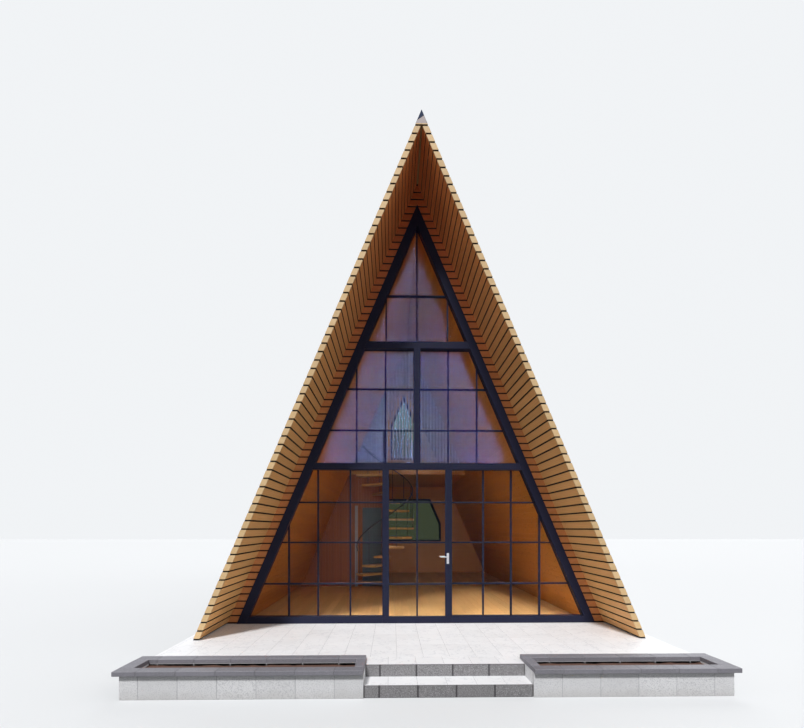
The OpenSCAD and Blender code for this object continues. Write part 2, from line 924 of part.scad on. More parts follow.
// Rods from tread to handrail, with their tops cut to the rail's slope
module stair_balusters() {
    color(c_frame)
        each_baluster()
            difference() {
                cylinder(h = rail_h, r = baluster_d / 2, $fn = round_n);
                translate([0, 0, rail_h])
                    rotate([rail_slope, 0, 0])
                        translate([-rail_d, -rail_d, -rail_flat - rail_seat])
                            cube(2 * rail_d);
            }
}

// A ring of the handrail's surface, square to the rail, at this tread number, with a flat side below
function rail_ring(n) =
    let (a = tread_angle(n), out = [cos(a), sin(a), 0],
         up = [sin(a) * sin(rail_slope), -cos(a) * sin(rail_slope), cos(rail_slope)])
    [for (k = [0 : rail_sides - 1])
        let (turn = (k + 1 / 2) * 360 / rail_sides)
        out * (rail_r + rail_d / 2 * cos(turn)) + up * rail_d / 2 * sin(turn) + [0, 0, n * riser_h + rail_h]];

// A tube that winds up with the treads
module stair_handrail() {
    points = [for (n = rail_rings) each rail_ring(n)];
    last = (len(rail_rings) - 1) * rail_sides;
    sides = [for (a = [0 : rail_sides : last - rail_sides], k = [0 : rail_sides - 1])
        let (b = a + rail_sides, m = (k + 1) % rail_sides)
        each [[a + k, a + m, b + m], [a + k, b + m, b + k]]];
    low_end = [for (k = [rail_sides - 1 : -1 : 0]) k];
    high_end = [for (k = [0 : rail_sides - 1]) last + k];
    color(c_frame)
        translate([-pole_x, pole_y, floor_h])
            polyhedron(points, concat([low_end, high_end], sides));
}

foundation_slab();
floor_boards();
terrace_slab();
terrace_tiles();
step_risers();
lower_step();
planter_walls();
planter_soil();
planter_copings();
left_roof_deck();
right_roof_deck();
roof_covering();
front_soffit();
rear_soffit();
front_fascia();
rear_fascia();
left_roof_panel();
right_roof_panel();
ridge_beam();
ridge_cap();
left_front_band();
right_front_band();
left_rake();
right_rake();
upper_transom();
main_transom();
centre_post();
bottom_rails();
left_door_post();
right_door_post();
threshold();
top_glass();
middle_glass();
lower_glass();
door_leaf();
door_glass();
door_plates();
door_lever();
frame_hinges();
leaf_hinges();
rear_wall();
rear_window_frames();
rear_glass();
loft_floor();
lower_partition();
loft_partition();
loft_screen();
stair_pole();
stair_treads();
stair_balusters();
stair_handrail();
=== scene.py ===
# The finish of an a-frame cabin: timber boards on a steep roof, a glazed front gable in a black
# frame, a tiled terrace with two planters, and the rooms that show through the glass.
# Lengths are in metres, X to the right, Y to the rear and Z up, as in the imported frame.
import math
import random

import bmesh
import bpy
import numpy as np
from mathutils import Matrix, Vector, noise


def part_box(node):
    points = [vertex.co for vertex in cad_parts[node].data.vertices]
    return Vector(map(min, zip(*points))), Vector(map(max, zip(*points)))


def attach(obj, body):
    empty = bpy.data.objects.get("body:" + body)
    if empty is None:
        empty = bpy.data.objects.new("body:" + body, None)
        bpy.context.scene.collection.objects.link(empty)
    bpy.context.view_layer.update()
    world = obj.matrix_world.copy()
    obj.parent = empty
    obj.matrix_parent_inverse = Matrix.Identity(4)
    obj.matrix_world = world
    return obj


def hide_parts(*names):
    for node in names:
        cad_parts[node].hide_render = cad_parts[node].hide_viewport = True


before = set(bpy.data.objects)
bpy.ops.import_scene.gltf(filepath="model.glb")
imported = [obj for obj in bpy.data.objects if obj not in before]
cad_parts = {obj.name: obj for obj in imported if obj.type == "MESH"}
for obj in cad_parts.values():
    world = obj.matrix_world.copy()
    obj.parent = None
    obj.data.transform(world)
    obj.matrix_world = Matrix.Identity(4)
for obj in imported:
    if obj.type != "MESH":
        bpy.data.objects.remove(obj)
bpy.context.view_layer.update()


# Camera. It stands in front of the house, a little left of the door, at eye height above the terrace.
# It looks level with its lens shifted up, so that upright lines stay upright.
def put_in_scene(name, data):
    """A new object in the scene, which holds this data."""
    made = bpy.data.objects.new(name, data)
    bpy.context.scene.collection.objects.link(made)
    return made


camera = put_in_scene("camera", bpy.data.cameras.new("camera"))
camera.data.sensor_width = 36
camera.data.lens = 21.94
camera.data.shift_y = 0.204
camera.data.clip_end = 300
camera.location = (-0.399, -7.715, 1.755)
camera.rotation_euler = (math.radians(90), 0, math.radians(-1.18))
bpy.context.scene.camera = camera
bpy.context.scene.view_settings.view_transform = "Standard"


# Studio. A pale floor and backdrop, even light from all round, and a soft main light from the upper left
# front, where the photo's light stands. A tall bright card is mirrored by the glass alone. Its edges lean in
# with the gable, so that the panes next to the frame stay clear on both sides.
def sun(name, strength, softness, place):
    """A distant lamp that shines from a place towards the house."""
    lamp = put_in_scene(name, bpy.data.lights.new(name, "SUN"))
    lamp.data.energy = strength
    lamp.data.angle = math.radians(softness)
    lamp.location = place
    lamp.rotation_euler = (-Vector(place)).to_track_quat("-Z", "Y").to_euler()


sun("main_light", 3.0, 8, (-3.6, -11.3, 13.9))
sun("side_light", 0.62, 60, (14, -2, 8))
sun("low_light", 0.28, 50, (-14, -6, 3))
sun("rear_light", 0.8, 50, (4, 14, 9))


def clear_tree(owner):
    """The node tree of a material or a world, emptied for nodes of its own."""
    owner.use_nodes = True
    owner.node_tree.nodes.clear()
    return owner.node_tree


def add(tree, kind, inputs=None, **settings):
    """A shader node. Each input is a plain value, or another node's socket to wire in."""
    made = tree.nodes.new("ShaderNode" + kind)
    for name, value in settings.items():
        setattr(made, name, value)
    for key, value in (inputs or {}).items():
        socket = made.inputs[key]
        if isinstance(value, bpy.types.NodeSocket):
            tree.links.new(value, socket)
        elif socket.type == "RGBA" and len(value) == 3:
            socket.default_value = (*value, 1)
        else:
            socket.default_value = value
    return made


def work_out(tree, operation, *values):
    """What a Math node makes of plain values and sockets."""
    return add(tree, "Math", dict(enumerate(values)), operation=operation).outputs[0]


def object_place(tree):
    """Each point's place in the house."""
    return add(tree, "TexCoord").outputs["Object"]


def height_of(tree, place):
    """How high these coordinates lie."""
    return add(tree, "SeparateXYZ", {0: place}).outputs["Z"]


def faced_piece(name, points, faces, finish):
    """A piece made of these faces, in one finish."""
    mesh = bpy.data.meshes.new(name)
    mesh.from_pydata(points, [], faces)
    mesh.materials.append(finish)
    return put_in_scene(name, mesh)


card_y, card_low, card_top = -12.0, 4.4, 13.17
card_left, card_right, card_middle = -3.26, 4.27, 0.50
card_glow, card_top_glow, fade_low, fade_high = 18.0, 9.0, 8.6, 9.8
card_finish = bpy.data.materials.new("bright_card")
tree = clear_tree(card_finish)
card_finish.cycles.emission_sampling = "NONE"
glow = add(tree, "MapRange", {"Value": height_of(tree, object_place(tree)), "From Min": fade_low,
                              "From Max": fade_high, "To Min": card_glow, "To Max": card_top_glow}).outputs[0]
# Its mirror image is four times as bright as the light that it sends into the rooms through the glass, and
# a straight look through the house from behind doesn't meet it.
rays = add(tree, "LightPath").outputs
mirrored = work_out(tree, "MULTIPLY_ADD", rays["Is Transmission Ray"], -3.0, 4.0)
shining = add(tree, "Emission", {"Strength": work_out(tree, "MULTIPLY", glow, mirrored)}).outputs[0]
straight = work_out(tree, "LESS_THAN", rays["Diffuse Depth"], 0.5)
looked_through = work_out(tree, "MULTIPLY", rays["Is Transmission Ray"], straight)
open_air = add(tree, "BsdfTransparent").outputs[0]
shown = add(tree, "MixShader", {0: looked_through, 1: shining, 2: open_air}).outputs[0]
add(tree, "OutputMaterial", {"Surface": shown})
card_corners = [(card_left, card_y, card_low), (card_right, card_y, card_low),
                (card_middle, card_y, card_top)]
card = faced_piece("bright_card", card_corners, [(0, 2, 1)], card_finish)
card.visible_camera = card.visible_diffuse = card.visible_volume_scatter = card.visible_shadow = False
mirrors = bpy.data.collections.new("mirrors")
for name in ("top_glass", "middle_glass", "lower_glass", "door_glass"):
    mirrors.objects.link(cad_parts[name])
card.light_linking.receiver_collection = mirrors


def seen(tree):
    """1 where the camera sees a surface, also in a mirror or through glass, and 0 for the light it gives."""
    rays = add(tree, "LightPath").outputs
    direct = work_out(tree, "MAXIMUM", rays["Is Camera Ray"], rays["Is Glossy Ray"])
    return work_out(tree, "MAXIMUM", direct, rays["Is Transmission Ray"])


world = bpy.data.worlds.new("studio")
tree = clear_tree(world)
even_light = add(tree, "Background", {"Color": (0.93, 0.96, 1.0), "Strength": 0.31}).outputs[0]
backdrop = add(tree, "Background", {"Color": (0.88, 0.90, 0.92), "Strength": 1.0}).outputs[0]
surround = add(tree, "MixShader", {0: seen(tree), 1: even_light, 2: backdrop}).outputs[0]
add(tree, "OutputWorld", {"Surface": surround})
bpy.context.scene.world = world


def new_material(name, **sockets):
    """A material with one Principled shader, and the values that are the same all over it."""
    made = bpy.data.materials.new(name)
    tree = clear_tree(made)
    shader = add(tree, "BsdfPrincipled", sockets)
    add(tree, "OutputMaterial", {"Surface": shader.outputs["BSDF"]}, name="out")
    return made, tree, shader


def mix_colour(tree, share, low, high, mode="MIX"):
    """The colour between two others, or the second laid over the first in this mode."""
    return add(tree, "Mix", {"Factor": share, 6: low, 7: high}, data_type="RGBA", blend_type=mode).outputs[2]


def lay_on(tree, shader, colour, height=None, depth=0.0, strength=1.0):
    """Wires a colour to the shader, and a relief whose height, from 0 to 1, stands for a real depth."""
    tree.links.new(colour, shader.inputs["Base Color"])
    if height is not None:
        relief = add(tree, "Bump", {"Height": height, "Distance": depth, "Strength": strength})
        tree.links.new(relief.outputs["Normal"], shader.inputs["Normal"])


# The floor looks pale, and gives little light from below.
floor_finish, tree, shader = new_material("studio_floor", Roughness=0.9)
lay_on(tree, shader, mix_colour(tree, seen(tree), (0.18, 0.18, 0.18), (0.70, 0.71, 0.72)))
floor_reach = 70
floor_corners = [(x * floor_reach, y * floor_reach, 0) for x, y in ((-1, -1), (1, -1), (1, 1), (-1, 1))]
faced_piece("studio_floor", floor_corners, [(0, 1, 2, 3)], floor_finish)


# Plinth. The house slab, the terrace slab and the lower step are cast concrete with fine pores,
# a cloudy surface and a darker foot where rain splashes up. Their arrises were struck off.
def new_group(name, inputs, **outputs):
    """A shader group with named sockets. An input is given by its usual value, and an output by its kind."""
    group = bpy.data.node_groups.new(name, "ShaderNodeTree")
    for label, value in inputs.items():
        kind = "Float" if isinstance(value, float) else {3: "Vector", 4: "Color"}[len(value)]
        socket = group.interface.new_socket(label, in_out="INPUT", socket_type="NodeSocket" + kind)
        socket.default_value = value
    for label, kind in outputs.items():
        group.interface.new_socket(label, in_out="OUTPUT", socket_type="NodeSocket" + kind)
    return group, group.nodes.new("NodeGroupInput").outputs


def put_out(group, **sockets):
    """Wires a group's results to its outputs."""
    out = group.nodes.new("NodeGroupOutput")
    for label, socket in sockets.items():
        group.links.new(socket, out.inputs[label])


def noise_over(tree, place, scale, detail, **more):
    """Soft noise from 0 to 1 over these coordinates."""
    return add(tree, "TexNoise", {"Vector": place, "Scale": scale, "Detail": detail, **more}).outputs["Fac"]


def times(tree, vector, factor):
    """A colour or a vector times a plain number."""
    return add(tree, "VectorMath", {0: vector, "Scale": factor}, operation="SCALE").outputs[0]


# Cloudy Tone: a colour that drifts lighter and darker over the surface, and from piece to piece.
cloudy_tone, given = new_group(
    "Cloudy Tone",
    {"Color": (0.5, 0.5, 0.5, 1), "Vector": (0, 0, 0), "Scale": 3.0, "Depth": 0.2, "Tone": 0.5,
     "Tone Depth": 0.0}, Color="Color")
drift = work_out(cloudy_tone, "SUBTRACT", noise_over(cloudy_tone, given["Vector"], given["Scale"], 5.0), 0.5)
drifted = work_out(cloudy_tone, "MULTIPLY_ADD", drift, given["Depth"], 1.0)
toned = work_out(cloudy_tone, "SUBTRACT", given["Tone"], 0.5)
level = work_out(cloudy_tone, "MULTIPLY_ADD", toned, given["Tone Depth"], drifted)
put_out(cloudy_tone, Color=times(cloudy_tone, given["Color"], level))

# Stone Grit: the share of a surface that fine grains, chips or pores of one size take up.
stone_grit, given = new_group(
    "Stone Grit", {"Vector": (0, 0, 0), "Scale": 300.0, "Share": 0.3, "Blur": 0.05}, Grit="Float")
grains = noise_over(stone_grit, given["Vector"], given["Scale"], 1.0)
# The noise lies mostly between 0.3 and 0.7, so the share is spread over that range.
start = work_out(stone_grit, "MULTIPLY_ADD", given["Share"], -0.4, 0.7)
end = work_out(stone_grit, "ADD", start, given["Blur"])
found = add(stone_grit, "MapRange", {"Value": grains, "From Min": start, "From Max": end})
put_out(stone_grit, Grit=found.outputs[0])

# Foot Stain: how dirty an upright face is, from its foot up to a ragged line.
foot_stain, given = new_group("Foot Stain", {"Vector": (0, 0, 0), "Height": 0.1}, Stain="Float")
ragged = noise_over(foot_stain, given["Vector"], 6.0, 6.0)
raised = work_out(foot_stain, "MULTIPLY_ADD", ragged, -0.12, height_of(foot_stain, given["Vector"]))
stain_top = work_out(foot_stain, "SUBTRACT", given["Height"], 0.06)
stained = add(foot_stain, "MapRange", {"Value": raised, "From Min": -0.06, "From Max": stain_top,
                                       "To Min": 1.0, "To Max": 0.0}, interpolation_type="SMOOTHSTEP")
put_out(foot_stain, Stain=stained.outputs[0])


def attribute(tree, name):
    """What a mesh of blocks says of each block or corner: its grain, tone, edge or joint."""
    return add(tree, "Attribute", attribute_name=name).outputs["Vector" if name == "grain" else "Fac"]


def cloudy(tree, place, colour, scale, depth, tone_depth=0.0):
    """A colour through Cloudy Tone. With a tone depth, each block of the mesh has a tone of its own."""
    inputs = {"Color": colour, "Vector": place, "Scale": scale, "Depth": depth}
    if tone_depth:
        inputs |= {"Tone": attribute(tree, "tone"), "Tone Depth": tone_depth}
    return add(tree, "Group", inputs, node_tree=cloudy_tone).outputs["Color"]


def gritty(tree, place, scale, share, blur=0.05):
    """Where grains or pores show, through Stone Grit."""
    inputs = {"Vector": place, "Scale": scale, "Share": share, "Blur": blur}
    return add(tree, "Group", inputs, node_tree=stone_grit).outputs["Grit"]


def splashed(tree, height):
    """Where rain has splashed a face, through Foot Stain."""
    inputs = {"Vector": object_place(tree), "Height": height}
    return add(tree, "Group", inputs, node_tree=foot_stain).outputs["Stain"]


def dress(finish, arris, *nodes):
    """CAD nodes take a finish. A modifier takes their sharp edges off and leaves the mesh itself alone."""
    for name in nodes:
        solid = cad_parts[name]
        solid.data.materials.clear()
        solid.data.materials.append(finish)
        if arris:
            weld = solid.modifiers.new("weld", "WELD")
            weld.merge_threshold = 1e-5
            rounding = solid.modifiers.new("arris", "BEVEL")
            rounding.width = arris
            rounding.segments = 2
            rounding.limit_method = "ANGLE"


concrete, tree, shader = new_material("concrete", Roughness=0.85)
place = object_place(tree)
pores = gritty(tree, place, 70.0, 0.22, 0.03)
pored = mix_colour(tree, pores, cloudy(tree, place, (0.56, 0.55, 0.53), 2.2, 0.5), (0.30, 0.29, 0.28))
dirty = mix_colour(tree, splashed(tree, 0.16), pored, (0.33, 0.30, 0.26))
lay_on(tree, shader, dirty, work_out(tree, "SUBTRACT", 1.0, pores), 0.002)
dress(concrete, 0.004, "foundation_slab", "terrace_slab", "lower_step")


# Terrace tiles. Pale matt porcelain tiles with a faint grey vein, laid square on the slab in a bed of
# grey grout, with 3 mm joints. A row of its own follows the front edge, and the lower step has another.
class Joinery:
    """Separate closed blocks kept in one mesh, each with its own tone and grain and its arrises taken off.
    The mesh says where an arris is, as edge, and which sides face the block above or below, as joint."""

    def __init__(self, seed):
        self.blocks = []
        self.chance = random.Random(seed)

    def block(self, corners, arris, along=0, tone=None):
        """A block of eight corners, X turning over fastest and Z slowest. Its grain runs along one axis."""
        tone = self.chance.random() if tone is None else tone
        self.blocks.append((corners, arris, along, tone, [self.chance.uniform(0, 40) for _ in range(3)]))

    def box(self, low, high, arris, along=0, tone=None):
        """A block with upright and level sides, between two opposite corners."""
        ends = (low, high)
        self.block([[ends[i][0], ends[j][1], ends[k][2]] for k in (0, 1) for j in (0, 1) for i in (0, 1)],
                   arris, along, tone)

    def mesh(self, name, finish):
        """The piece that all the blocks make."""
        corners, arris, along, tone, shift = (np.array(each, float) for each in zip(*self.blocks))
        arris = arris[:, None, None]
        count = len(corners)
        every = np.arange(count)[:, None]

        def steps(axis):
            """How long and which way the edge is that runs along an axis from each corner."""
            step = corners[:, np.arange(8) ^ (1 << axis)] - corners
            length = np.linalg.norm(step, axis=2, keepdims=True)
            return length, step / np.maximum(length, 1e-9)

        def axes():
            """The directions of each block's three edges that meet in its first corner."""
            return np.stack([steps(a)[1][:, 0] for a in range(3)], 1)

        mirrored_blocks = np.linalg.det(axes()) < 0
        corners[mirrored_blocks] = corners[mirrored_blocks][:, [1, 0, 3, 2, 5, 4, 7, 6]]
        inset, widest = [], 0.35
        for axis in range(3):
            length, direction = steps(axis)
            inset.append(direction * np.minimum(arris, widest * length))
        points = np.stack([corners + inset[(a + 1) % 3] + inset[(a + 2) % 3] for a in range(3)], 2)
        points = points.reshape(count, 24, 3)

        faces = self.faces_of_block()
        loops = np.concatenate([np.array(f) for f in faces])
        starts = np.concatenate([[0], np.cumsum([len(f) for f in faces])[:-1]])
        mesh = bpy.data.meshes.new(name)
        mesh.vertices.add(count * 24)
        mesh.vertices.foreach_set("co", points.ravel())
        mesh.loops.add(count * len(loops))
        mesh.loops.foreach_set("vertex_index", (loops[None] + 24 * every).ravel())
        mesh.polygons.add(count * len(faces))
        mesh.polygons.foreach_set("loop_start", (starts[None] + len(loops) * every).ravel())

        turned = axes()[every, (along.astype(int)[:, None] + np.arange(3)) % 3]
        grain = np.einsum("npc,nac->npa", points - corners[:, :1], turned) + shift[:, None]
        # The six sides have 24 loops between them, and the last 8 are those of the lower and the upper side.
        beside = len(loops) - 24
        edge = np.tile([0.0] * 24 + [1.0] * beside, count)
        joint = np.tile([0.0] * 16 + [1.0] * 8 + [0.0] * beside, count)
        for label, kind, domain, field, values in (
                ("tone", "FLOAT", "POINT", "value", np.repeat(tone, 24)),
                ("grain", "FLOAT_VECTOR", "POINT", "vector", grain.ravel()),
                ("edge", "FLOAT", "CORNER", "value", edge),
                ("joint", "FLOAT", "CORNER", "value", joint)):
            mesh.attributes.new(label, kind, domain).data.foreach_set(field, values)
        mesh.update(calc_edges=True)
        mesh.validate()
        mesh.shade_flat()
        mesh.materials.append(finish)
        return put_in_scene(name, mesh)

    @staticmethod
    def faces_of_block():
        """Six sides, then twelve arrises, then eight corners.
        Point 3 * c + a lies at corner c, on a side square to axis a."""
        sides, arrises, tips = [], [], []
        for a in range(3):
            b, c = (a + 1) % 3, (a + 2) % 3
            step_a, step_b, step_c = 1 << a, 1 << b, 1 << c
            sides.append([3 * k + a for k in (0, step_c, step_b | step_c, step_b)])
            sides.append([3 * (k | step_a) + a for k in (0, step_b, step_b | step_c, step_c)])
            for s in (0, 1):
                for t in (0, 1):
                    k = step_b * s + step_c * t
                    ring = [3 * k + b, 3 * (k | step_a) + b, 3 * (k | step_a) + c, 3 * k + c]
                    arrises.append(ring if s != t else ring[::-1])
        for k in range(8):
            tip = [3 * k, 3 * k + 1, 3 * k + 2]
            tips.append(tip if bin(k).count("1") % 2 else tip[::-1])
        return sides + arrises + tips


def fit(piece, body, slot, *nodes):
    """The piece rides on its body and stands for the nodes that it replaces, which it hides. The slot is not
    used.
    """
    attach(piece, body)
    if nodes:
        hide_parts(*nodes)


def spread(start, end, pitch, origin=0.0):
    """Neighbouring (from, to) lengths of one pitch, measured from an origin and cut off at both ends."""
    first = math.floor((start - origin) / pitch + 1e-6)
    marks = [start]
    while origin + (first + 1) * pitch < end - 1e-6:
        first += 1
        marks.append(origin + first * pitch)
    return list(zip(marks, marks[1:] + [end]))


ground_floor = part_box("terrace_tiles")[1].z
tile_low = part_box("terrace_slab")[1].z
plinth_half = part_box("terrace_tiles")[1].x
step_left, step_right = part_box("step_risers")[0].x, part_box("step_risers")[1].x
planter_back = -2.150
upper_riser_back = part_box("step_risers")[1].y
lower_riser_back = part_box("terrace_tiles")[0].y
step_back = -2.340
step_top = ground_floor / 2
step_bed = step_top - 0.02
tile_size, tile_joint, tile_arris = 0.31, 0.003, 0.0008
grout_drop, grout_side = 0.001, 0.001
slab_length = 0.40
row_back = upper_riser_back + tile_size
field_from, edge_from = -0.031, step_right - 3 * slab_length
tiled_areas = [((-plinth_half, row_back), (plinth_half, 0.0), tile_low, ground_floor, field_from),
               ((-plinth_half, planter_back), (step_left, row_back), tile_low, ground_floor, field_from),
               ((step_right, planter_back), (plinth_half, row_back), tile_low, ground_floor, field_from),
               ((step_left, upper_riser_back), (step_right, row_back), tile_low, ground_floor, edge_from),
               ((step_left, lower_riser_back), (step_right, step_back), step_bed, step_top, edge_from)]
tiles, grout = Joinery(3), Joinery(4)
half_joint = tile_joint / 2
for (x0, y0), (x1, y1), z0, z1, joints_from in tiled_areas:
    rows_from = y0 if z1 < ground_floor else row_back
    for xa, xb in spread(x0, x1, tile_size, joints_from):
        for ya, yb in spread(y0, y1, tile_size, rows_from):
            if min(xb - xa, yb - ya) > 4 * tile_joint:
                tiles.box((xa + half_joint, ya + half_joint, z0), (xb - half_joint, yb - half_joint, z1),
                          tile_arris)
    grout.box((x0 + grout_side, y0, z0), (x1 - grout_side, y1, z1 - grout_drop), 0.0)

tile_finish, tree, shader = new_material("terrace_tile", Roughness=0.5)
grain = attribute(tree, "grain")
warp = add(tree, "TexNoise", {"Vector": grain, "Scale": 4.0, "Detail": 4.0}).outputs["Color"]
path = add(tree, "VectorMath", {0: grain, 1: times(tree, warp, 0.5)}, operation="ADD").outputs[0]
off_vein = work_out(tree, "ABSOLUTE", work_out(tree, "SUBTRACT", noise_over(tree, path, 5.0, 2.0), 0.5))
vein = add(tree, "MapRange", {"Value": off_vein, "From Max": 0.022, "To Min": 0.42, "To Max": 0.0}).outputs[0]
porcelain = cloudy(tree, grain, (0.85, 0.85, 0.865), 5.0, 0.10, 0.05)
lay_on(tree, shader, mix_colour(tree, vein, porcelain, (0.52, 0.53, 0.57)))
fit(tiles.mesh("terrace_tiling", tile_finish), "cabin", "terrace_tile", "terrace_tiles")

# Mortar Sand: fine sand of two tones.
mortar_sand, given = new_group(
    "Mortar Sand",
    {"Vector": (0, 0, 0), "Scale": 300.0, "Dark": (0.1, 0.1, 0.1, 1), "Pale": (0.2, 0.2, 0.2, 1)},
    Color="Color")
sand = noise_over(mortar_sand, given["Vector"], given["Scale"], 2.0)
put_out(mortar_sand, Color=mix_colour(mortar_sand, sand, given["Dark"], given["Pale"]))


def mortar_finish(name, dark, pale, scale=300.0):
    """Rough mortar, or grout with a finer sand."""
    made, tree, shader = new_material(name, Roughness=0.95)
    inputs = {"Vector": attribute(tree, "grain"), "Scale": scale, "Dark": dark, "Pale": pale}
    lay_on(tree, shader, add(tree, "Group", inputs, node_tree=mortar_sand).outputs["Color"])
    return made


grout_finish = mortar_finish("grout", (0.36, 0.36, 0.38), (0.50, 0.50, 0.52), 400.0)
fit(grout.mesh("terrace_grout", grout_finish), "cabin", "terrace_tile", "terrace_tiles")


# Step risers. Slabs of speckled grey granite stand on edge in front of the terrace and the lower step, with
# darker sawn arrises and an upright joint of dark mortar every 400 mm from the right.

# A shader group that gives the arrises another colour: wear where a saw, hands or the weather have been at
# them, and on timber a paler painted highlight.
edge_wear_and_highlight, given = new_group(
    "Edge Wear And Highlight",
    {"Color": (0.5, 0.5, 0.5, 1), "Edge": 0.0, "Share": 0.5, "Arris Colour": (0.7, 0.7, 0.7, 1)}, Color="Color")
arris_share = work_out(edge_wear_and_highlight, "MULTIPLY", given["Edge"], given["Share"])
put_out(edge_wear_and_highlight, Color=mix_colour(edge_wear_and_highlight, arris_share, given["Color"], given["Arris Colour"]))


def wear_and_highlight_edges(tree, colour, share, arris_tone):
    """A colour through the arris group: wear, and on timber painted highlight, along the mesh's own arrises.
    """
    inputs = {"Color": colour, "Edge": attribute(tree, "edge"), "Share": share, "Arris Colour": arris_tone}
    return add(tree, "Group", inputs, node_tree=edge_wear_and_highlight).outputs["Color"]


def mineral(name, roughness, colour, clouds, grains, relief, arris_tone=None, splash=None):
    """Stone or felt in blocks: a cloudy colour, then each kind of grain, of which the last stands out.
    Clouds are (scale, depth, tone depth), each kind of grain is (scale, share, colour), the tone of arrises
    that wear has marked is (share, colour), and a face that rain has splashed from below is (height, share,
    colour)."""
    made, tree, shader = new_material(name, Roughness=roughness)
    grain = attribute(tree, "grain")
    look = cloudy(tree, grain, colour, *clouds)
    for scale, share, grain_colour in grains:
        found = gritty(tree, grain, scale, share)
        look = mix_colour(tree, found, look, grain_colour)
    if arris_tone:
        look = wear_and_highlight_edges(tree, look, *arris_tone)
    if splash:
        height, share, dirt = splash
        look = mix_colour(tree, work_out(tree, "MULTIPLY", splashed(tree, height), share), look, dirt)
    lay_on(tree, shader, look, found, relief)
    return made


granite = mineral("granite", 0.5, (0.196, 0.190, 0.196), clouds=(12.0, 0.35, 0.22),
                  grains=((95.0, 0.45, (0.140, 0.137, 0.141)), (130.0, 0.34, (0.32, 0.314, 0.32))),
                  relief=0.0004, arris_tone=(0.65, (0.055, 0.052, 0.058)))
dark_mortar = mortar_finish("dark_mortar", (0.045, 0.043, 0.047), (0.085, 0.08, 0.085))

slab_joint, riser_arris, mortar_drop, mortar_dip = 0.005, 0.005, 0.004, 0.0005
riser_t = upper_riser_back - step_back
risers, riser_mortar = Joinery(5), Joinery(15)
for back, top in ((upper_riser_back, ground_floor), (lower_riser_back, step_top)):
    for x0, x1 in spread(step_left, step_right, slab_length, step_right):
        risers.box((x0 + slab_joint, back - riser_t, 0), (x1 - slab_joint, back, top), riser_arris)
    riser_mortar.box((step_left + slab_joint, back - riser_t + mortar_drop, 0),
                     (step_right - slab_joint, back, top - mortar_dip), 0.0)
fit(risers.mesh("granite_risers", granite), "cabin", "granite", "step_risers")
fit(riser_mortar.mesh("riser_mortar", dark_mortar), "cabin", "granite", "step_risers")


# Planters. Walls of pale speckled stone blocks, 400 mm long and set from the stair side, stand on the
# ground under a darker honed coping that hangs past them on the outer sides. Grey mortar fills the joints
# of both, and crumbly soil fills the boxes.
def stone_course(stack, x0, x1, y0, y1, z0, z1, x_start, arris):
    """A row of blocks along X, with its joints counted from one end."""
    for xa, xb in spread(x0, x1, slab_length, x_start):
        if xb - xa > 4 * stone_joint:
            stack.box((xa + stone_joint / 2, y0, z0), (xb - stone_joint / 2, y1, z1), arris)


wall_low, wall_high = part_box("planter_walls")
coping_low, coping_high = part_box("planter_copings")
wall_t, stone_joint, stone_arris, coping_arris = 0.100, 0.005, 0.002, 0.003
skin, top_skin = 0.003, 0.001
first_block = 0.30
coping_reach = coping_high.x - plinth_half
front_strip = (coping_low.y, wall_low.y + wall_t)
rear_strip = (wall_high.y - wall_t, coping_high.y)
walls, mortar, copings, coping_mortar = Joinery(6), Joinery(7), Joinery(8), Joinery(16)
for side, near, far in ((-1, step_left, -plinth_half), (1, step_right, plinth_half)):
    x0, x1 = min(near, far), max(near, far)
    joints_from = near + side * (first_block - slab_length)
    for y0, y1 in ((wall_low.y, wall_low.y + wall_t), (wall_high.y - wall_t, wall_high.y)):
        stone_course(walls, x0, x1, y0, y1, 0, wall_high.z, joints_from, stone_arris)
    for xa, xb in ((x0, x0 + wall_t), (x1 - wall_t, x1)):
        walls.box((xa, wall_low.y + wall_t, 0), (xb, wall_high.y - wall_t, wall_high.z), stone_arris, 1)
    for y0, y1 in ((wall_low.y + skin, wall_low.y + wall_t), (wall_high.y - wall_t, wall_high.y - skin)):
        mortar.box((x0 + skin, y0, 0), (x1 - skin, y1, wall_high.z - top_skin), 0.0)

    outer = far + side * coping_reach
    xl, xr = min(near, outer), max(near, outer)
    for y0, y1 in (front_strip, rear_strip):
        stone_course(copings, xl, xr, y0, y1, coping_low.z, coping_high.z, joints_from, coping_arris)
    for xa, xb in ((xl, x0 + wall_t), (x1 - wall_t, xr)):
        copings.box((xa, front_strip[1] + stone_joint, coping_low.z),
                    (xb, rear_strip[0] - stone_joint, coping_high.z), coping_arris, 1)
        coping_mortar.box((xa + skin, front_strip[1] - skin, coping_low.z + skin),
                          (xb - skin, rear_strip[0] + skin, coping_high.z - skin), 0.0)
    for y0, y1 in (front_strip, rear_strip):
        coping_mortar.box((xl + skin, y0 + skin, coping_low.z + skin),
                          (xr - skin, y1 - skin, coping_high.z - skin), 0.0)

planter_stone = mineral("planter_stone", 0.7, (0.67, 0.67, 0.68), clouds=(9.0, 0.12, 0.10),
                        grains=((110.0, 0.38, (0.50, 0.50, 0.52)),), relief=0.0006,
                        splash=(0.12, 0.25, (0.34, 0.32, 0.29)))
fit(walls.mesh("planter_blocks", planter_stone), "cabin", "planter_stone", "planter_walls")
fit(mortar.mesh("planter_mortar", grout_finish), "cabin", "planter_stone", "planter_walls")

coping_stone = mineral("coping_stone", 0.55, (0.175, 0.17, 0.195), clouds=(10.0, 0.25, 0.25),
                       grains=((280.0, 0.30, (0.30, 0.295, 0.32)),), relief=0.0004,
                       arris_tone=(0.15, (0.45, 0.45, 0.47)))
fit(copings.mesh("coping_slabs", coping_stone), "cabin", "coping_stone", "planter_copings")
grey_mortar = mortar_finish("grey_mortar", (0.095, 0.092, 0.103), (0.150, 0.146, 0.162))
fit(coping_mortar.mesh("coping_mortar", grey_mortar), "cabin", "coping_stone", "planter_copings")


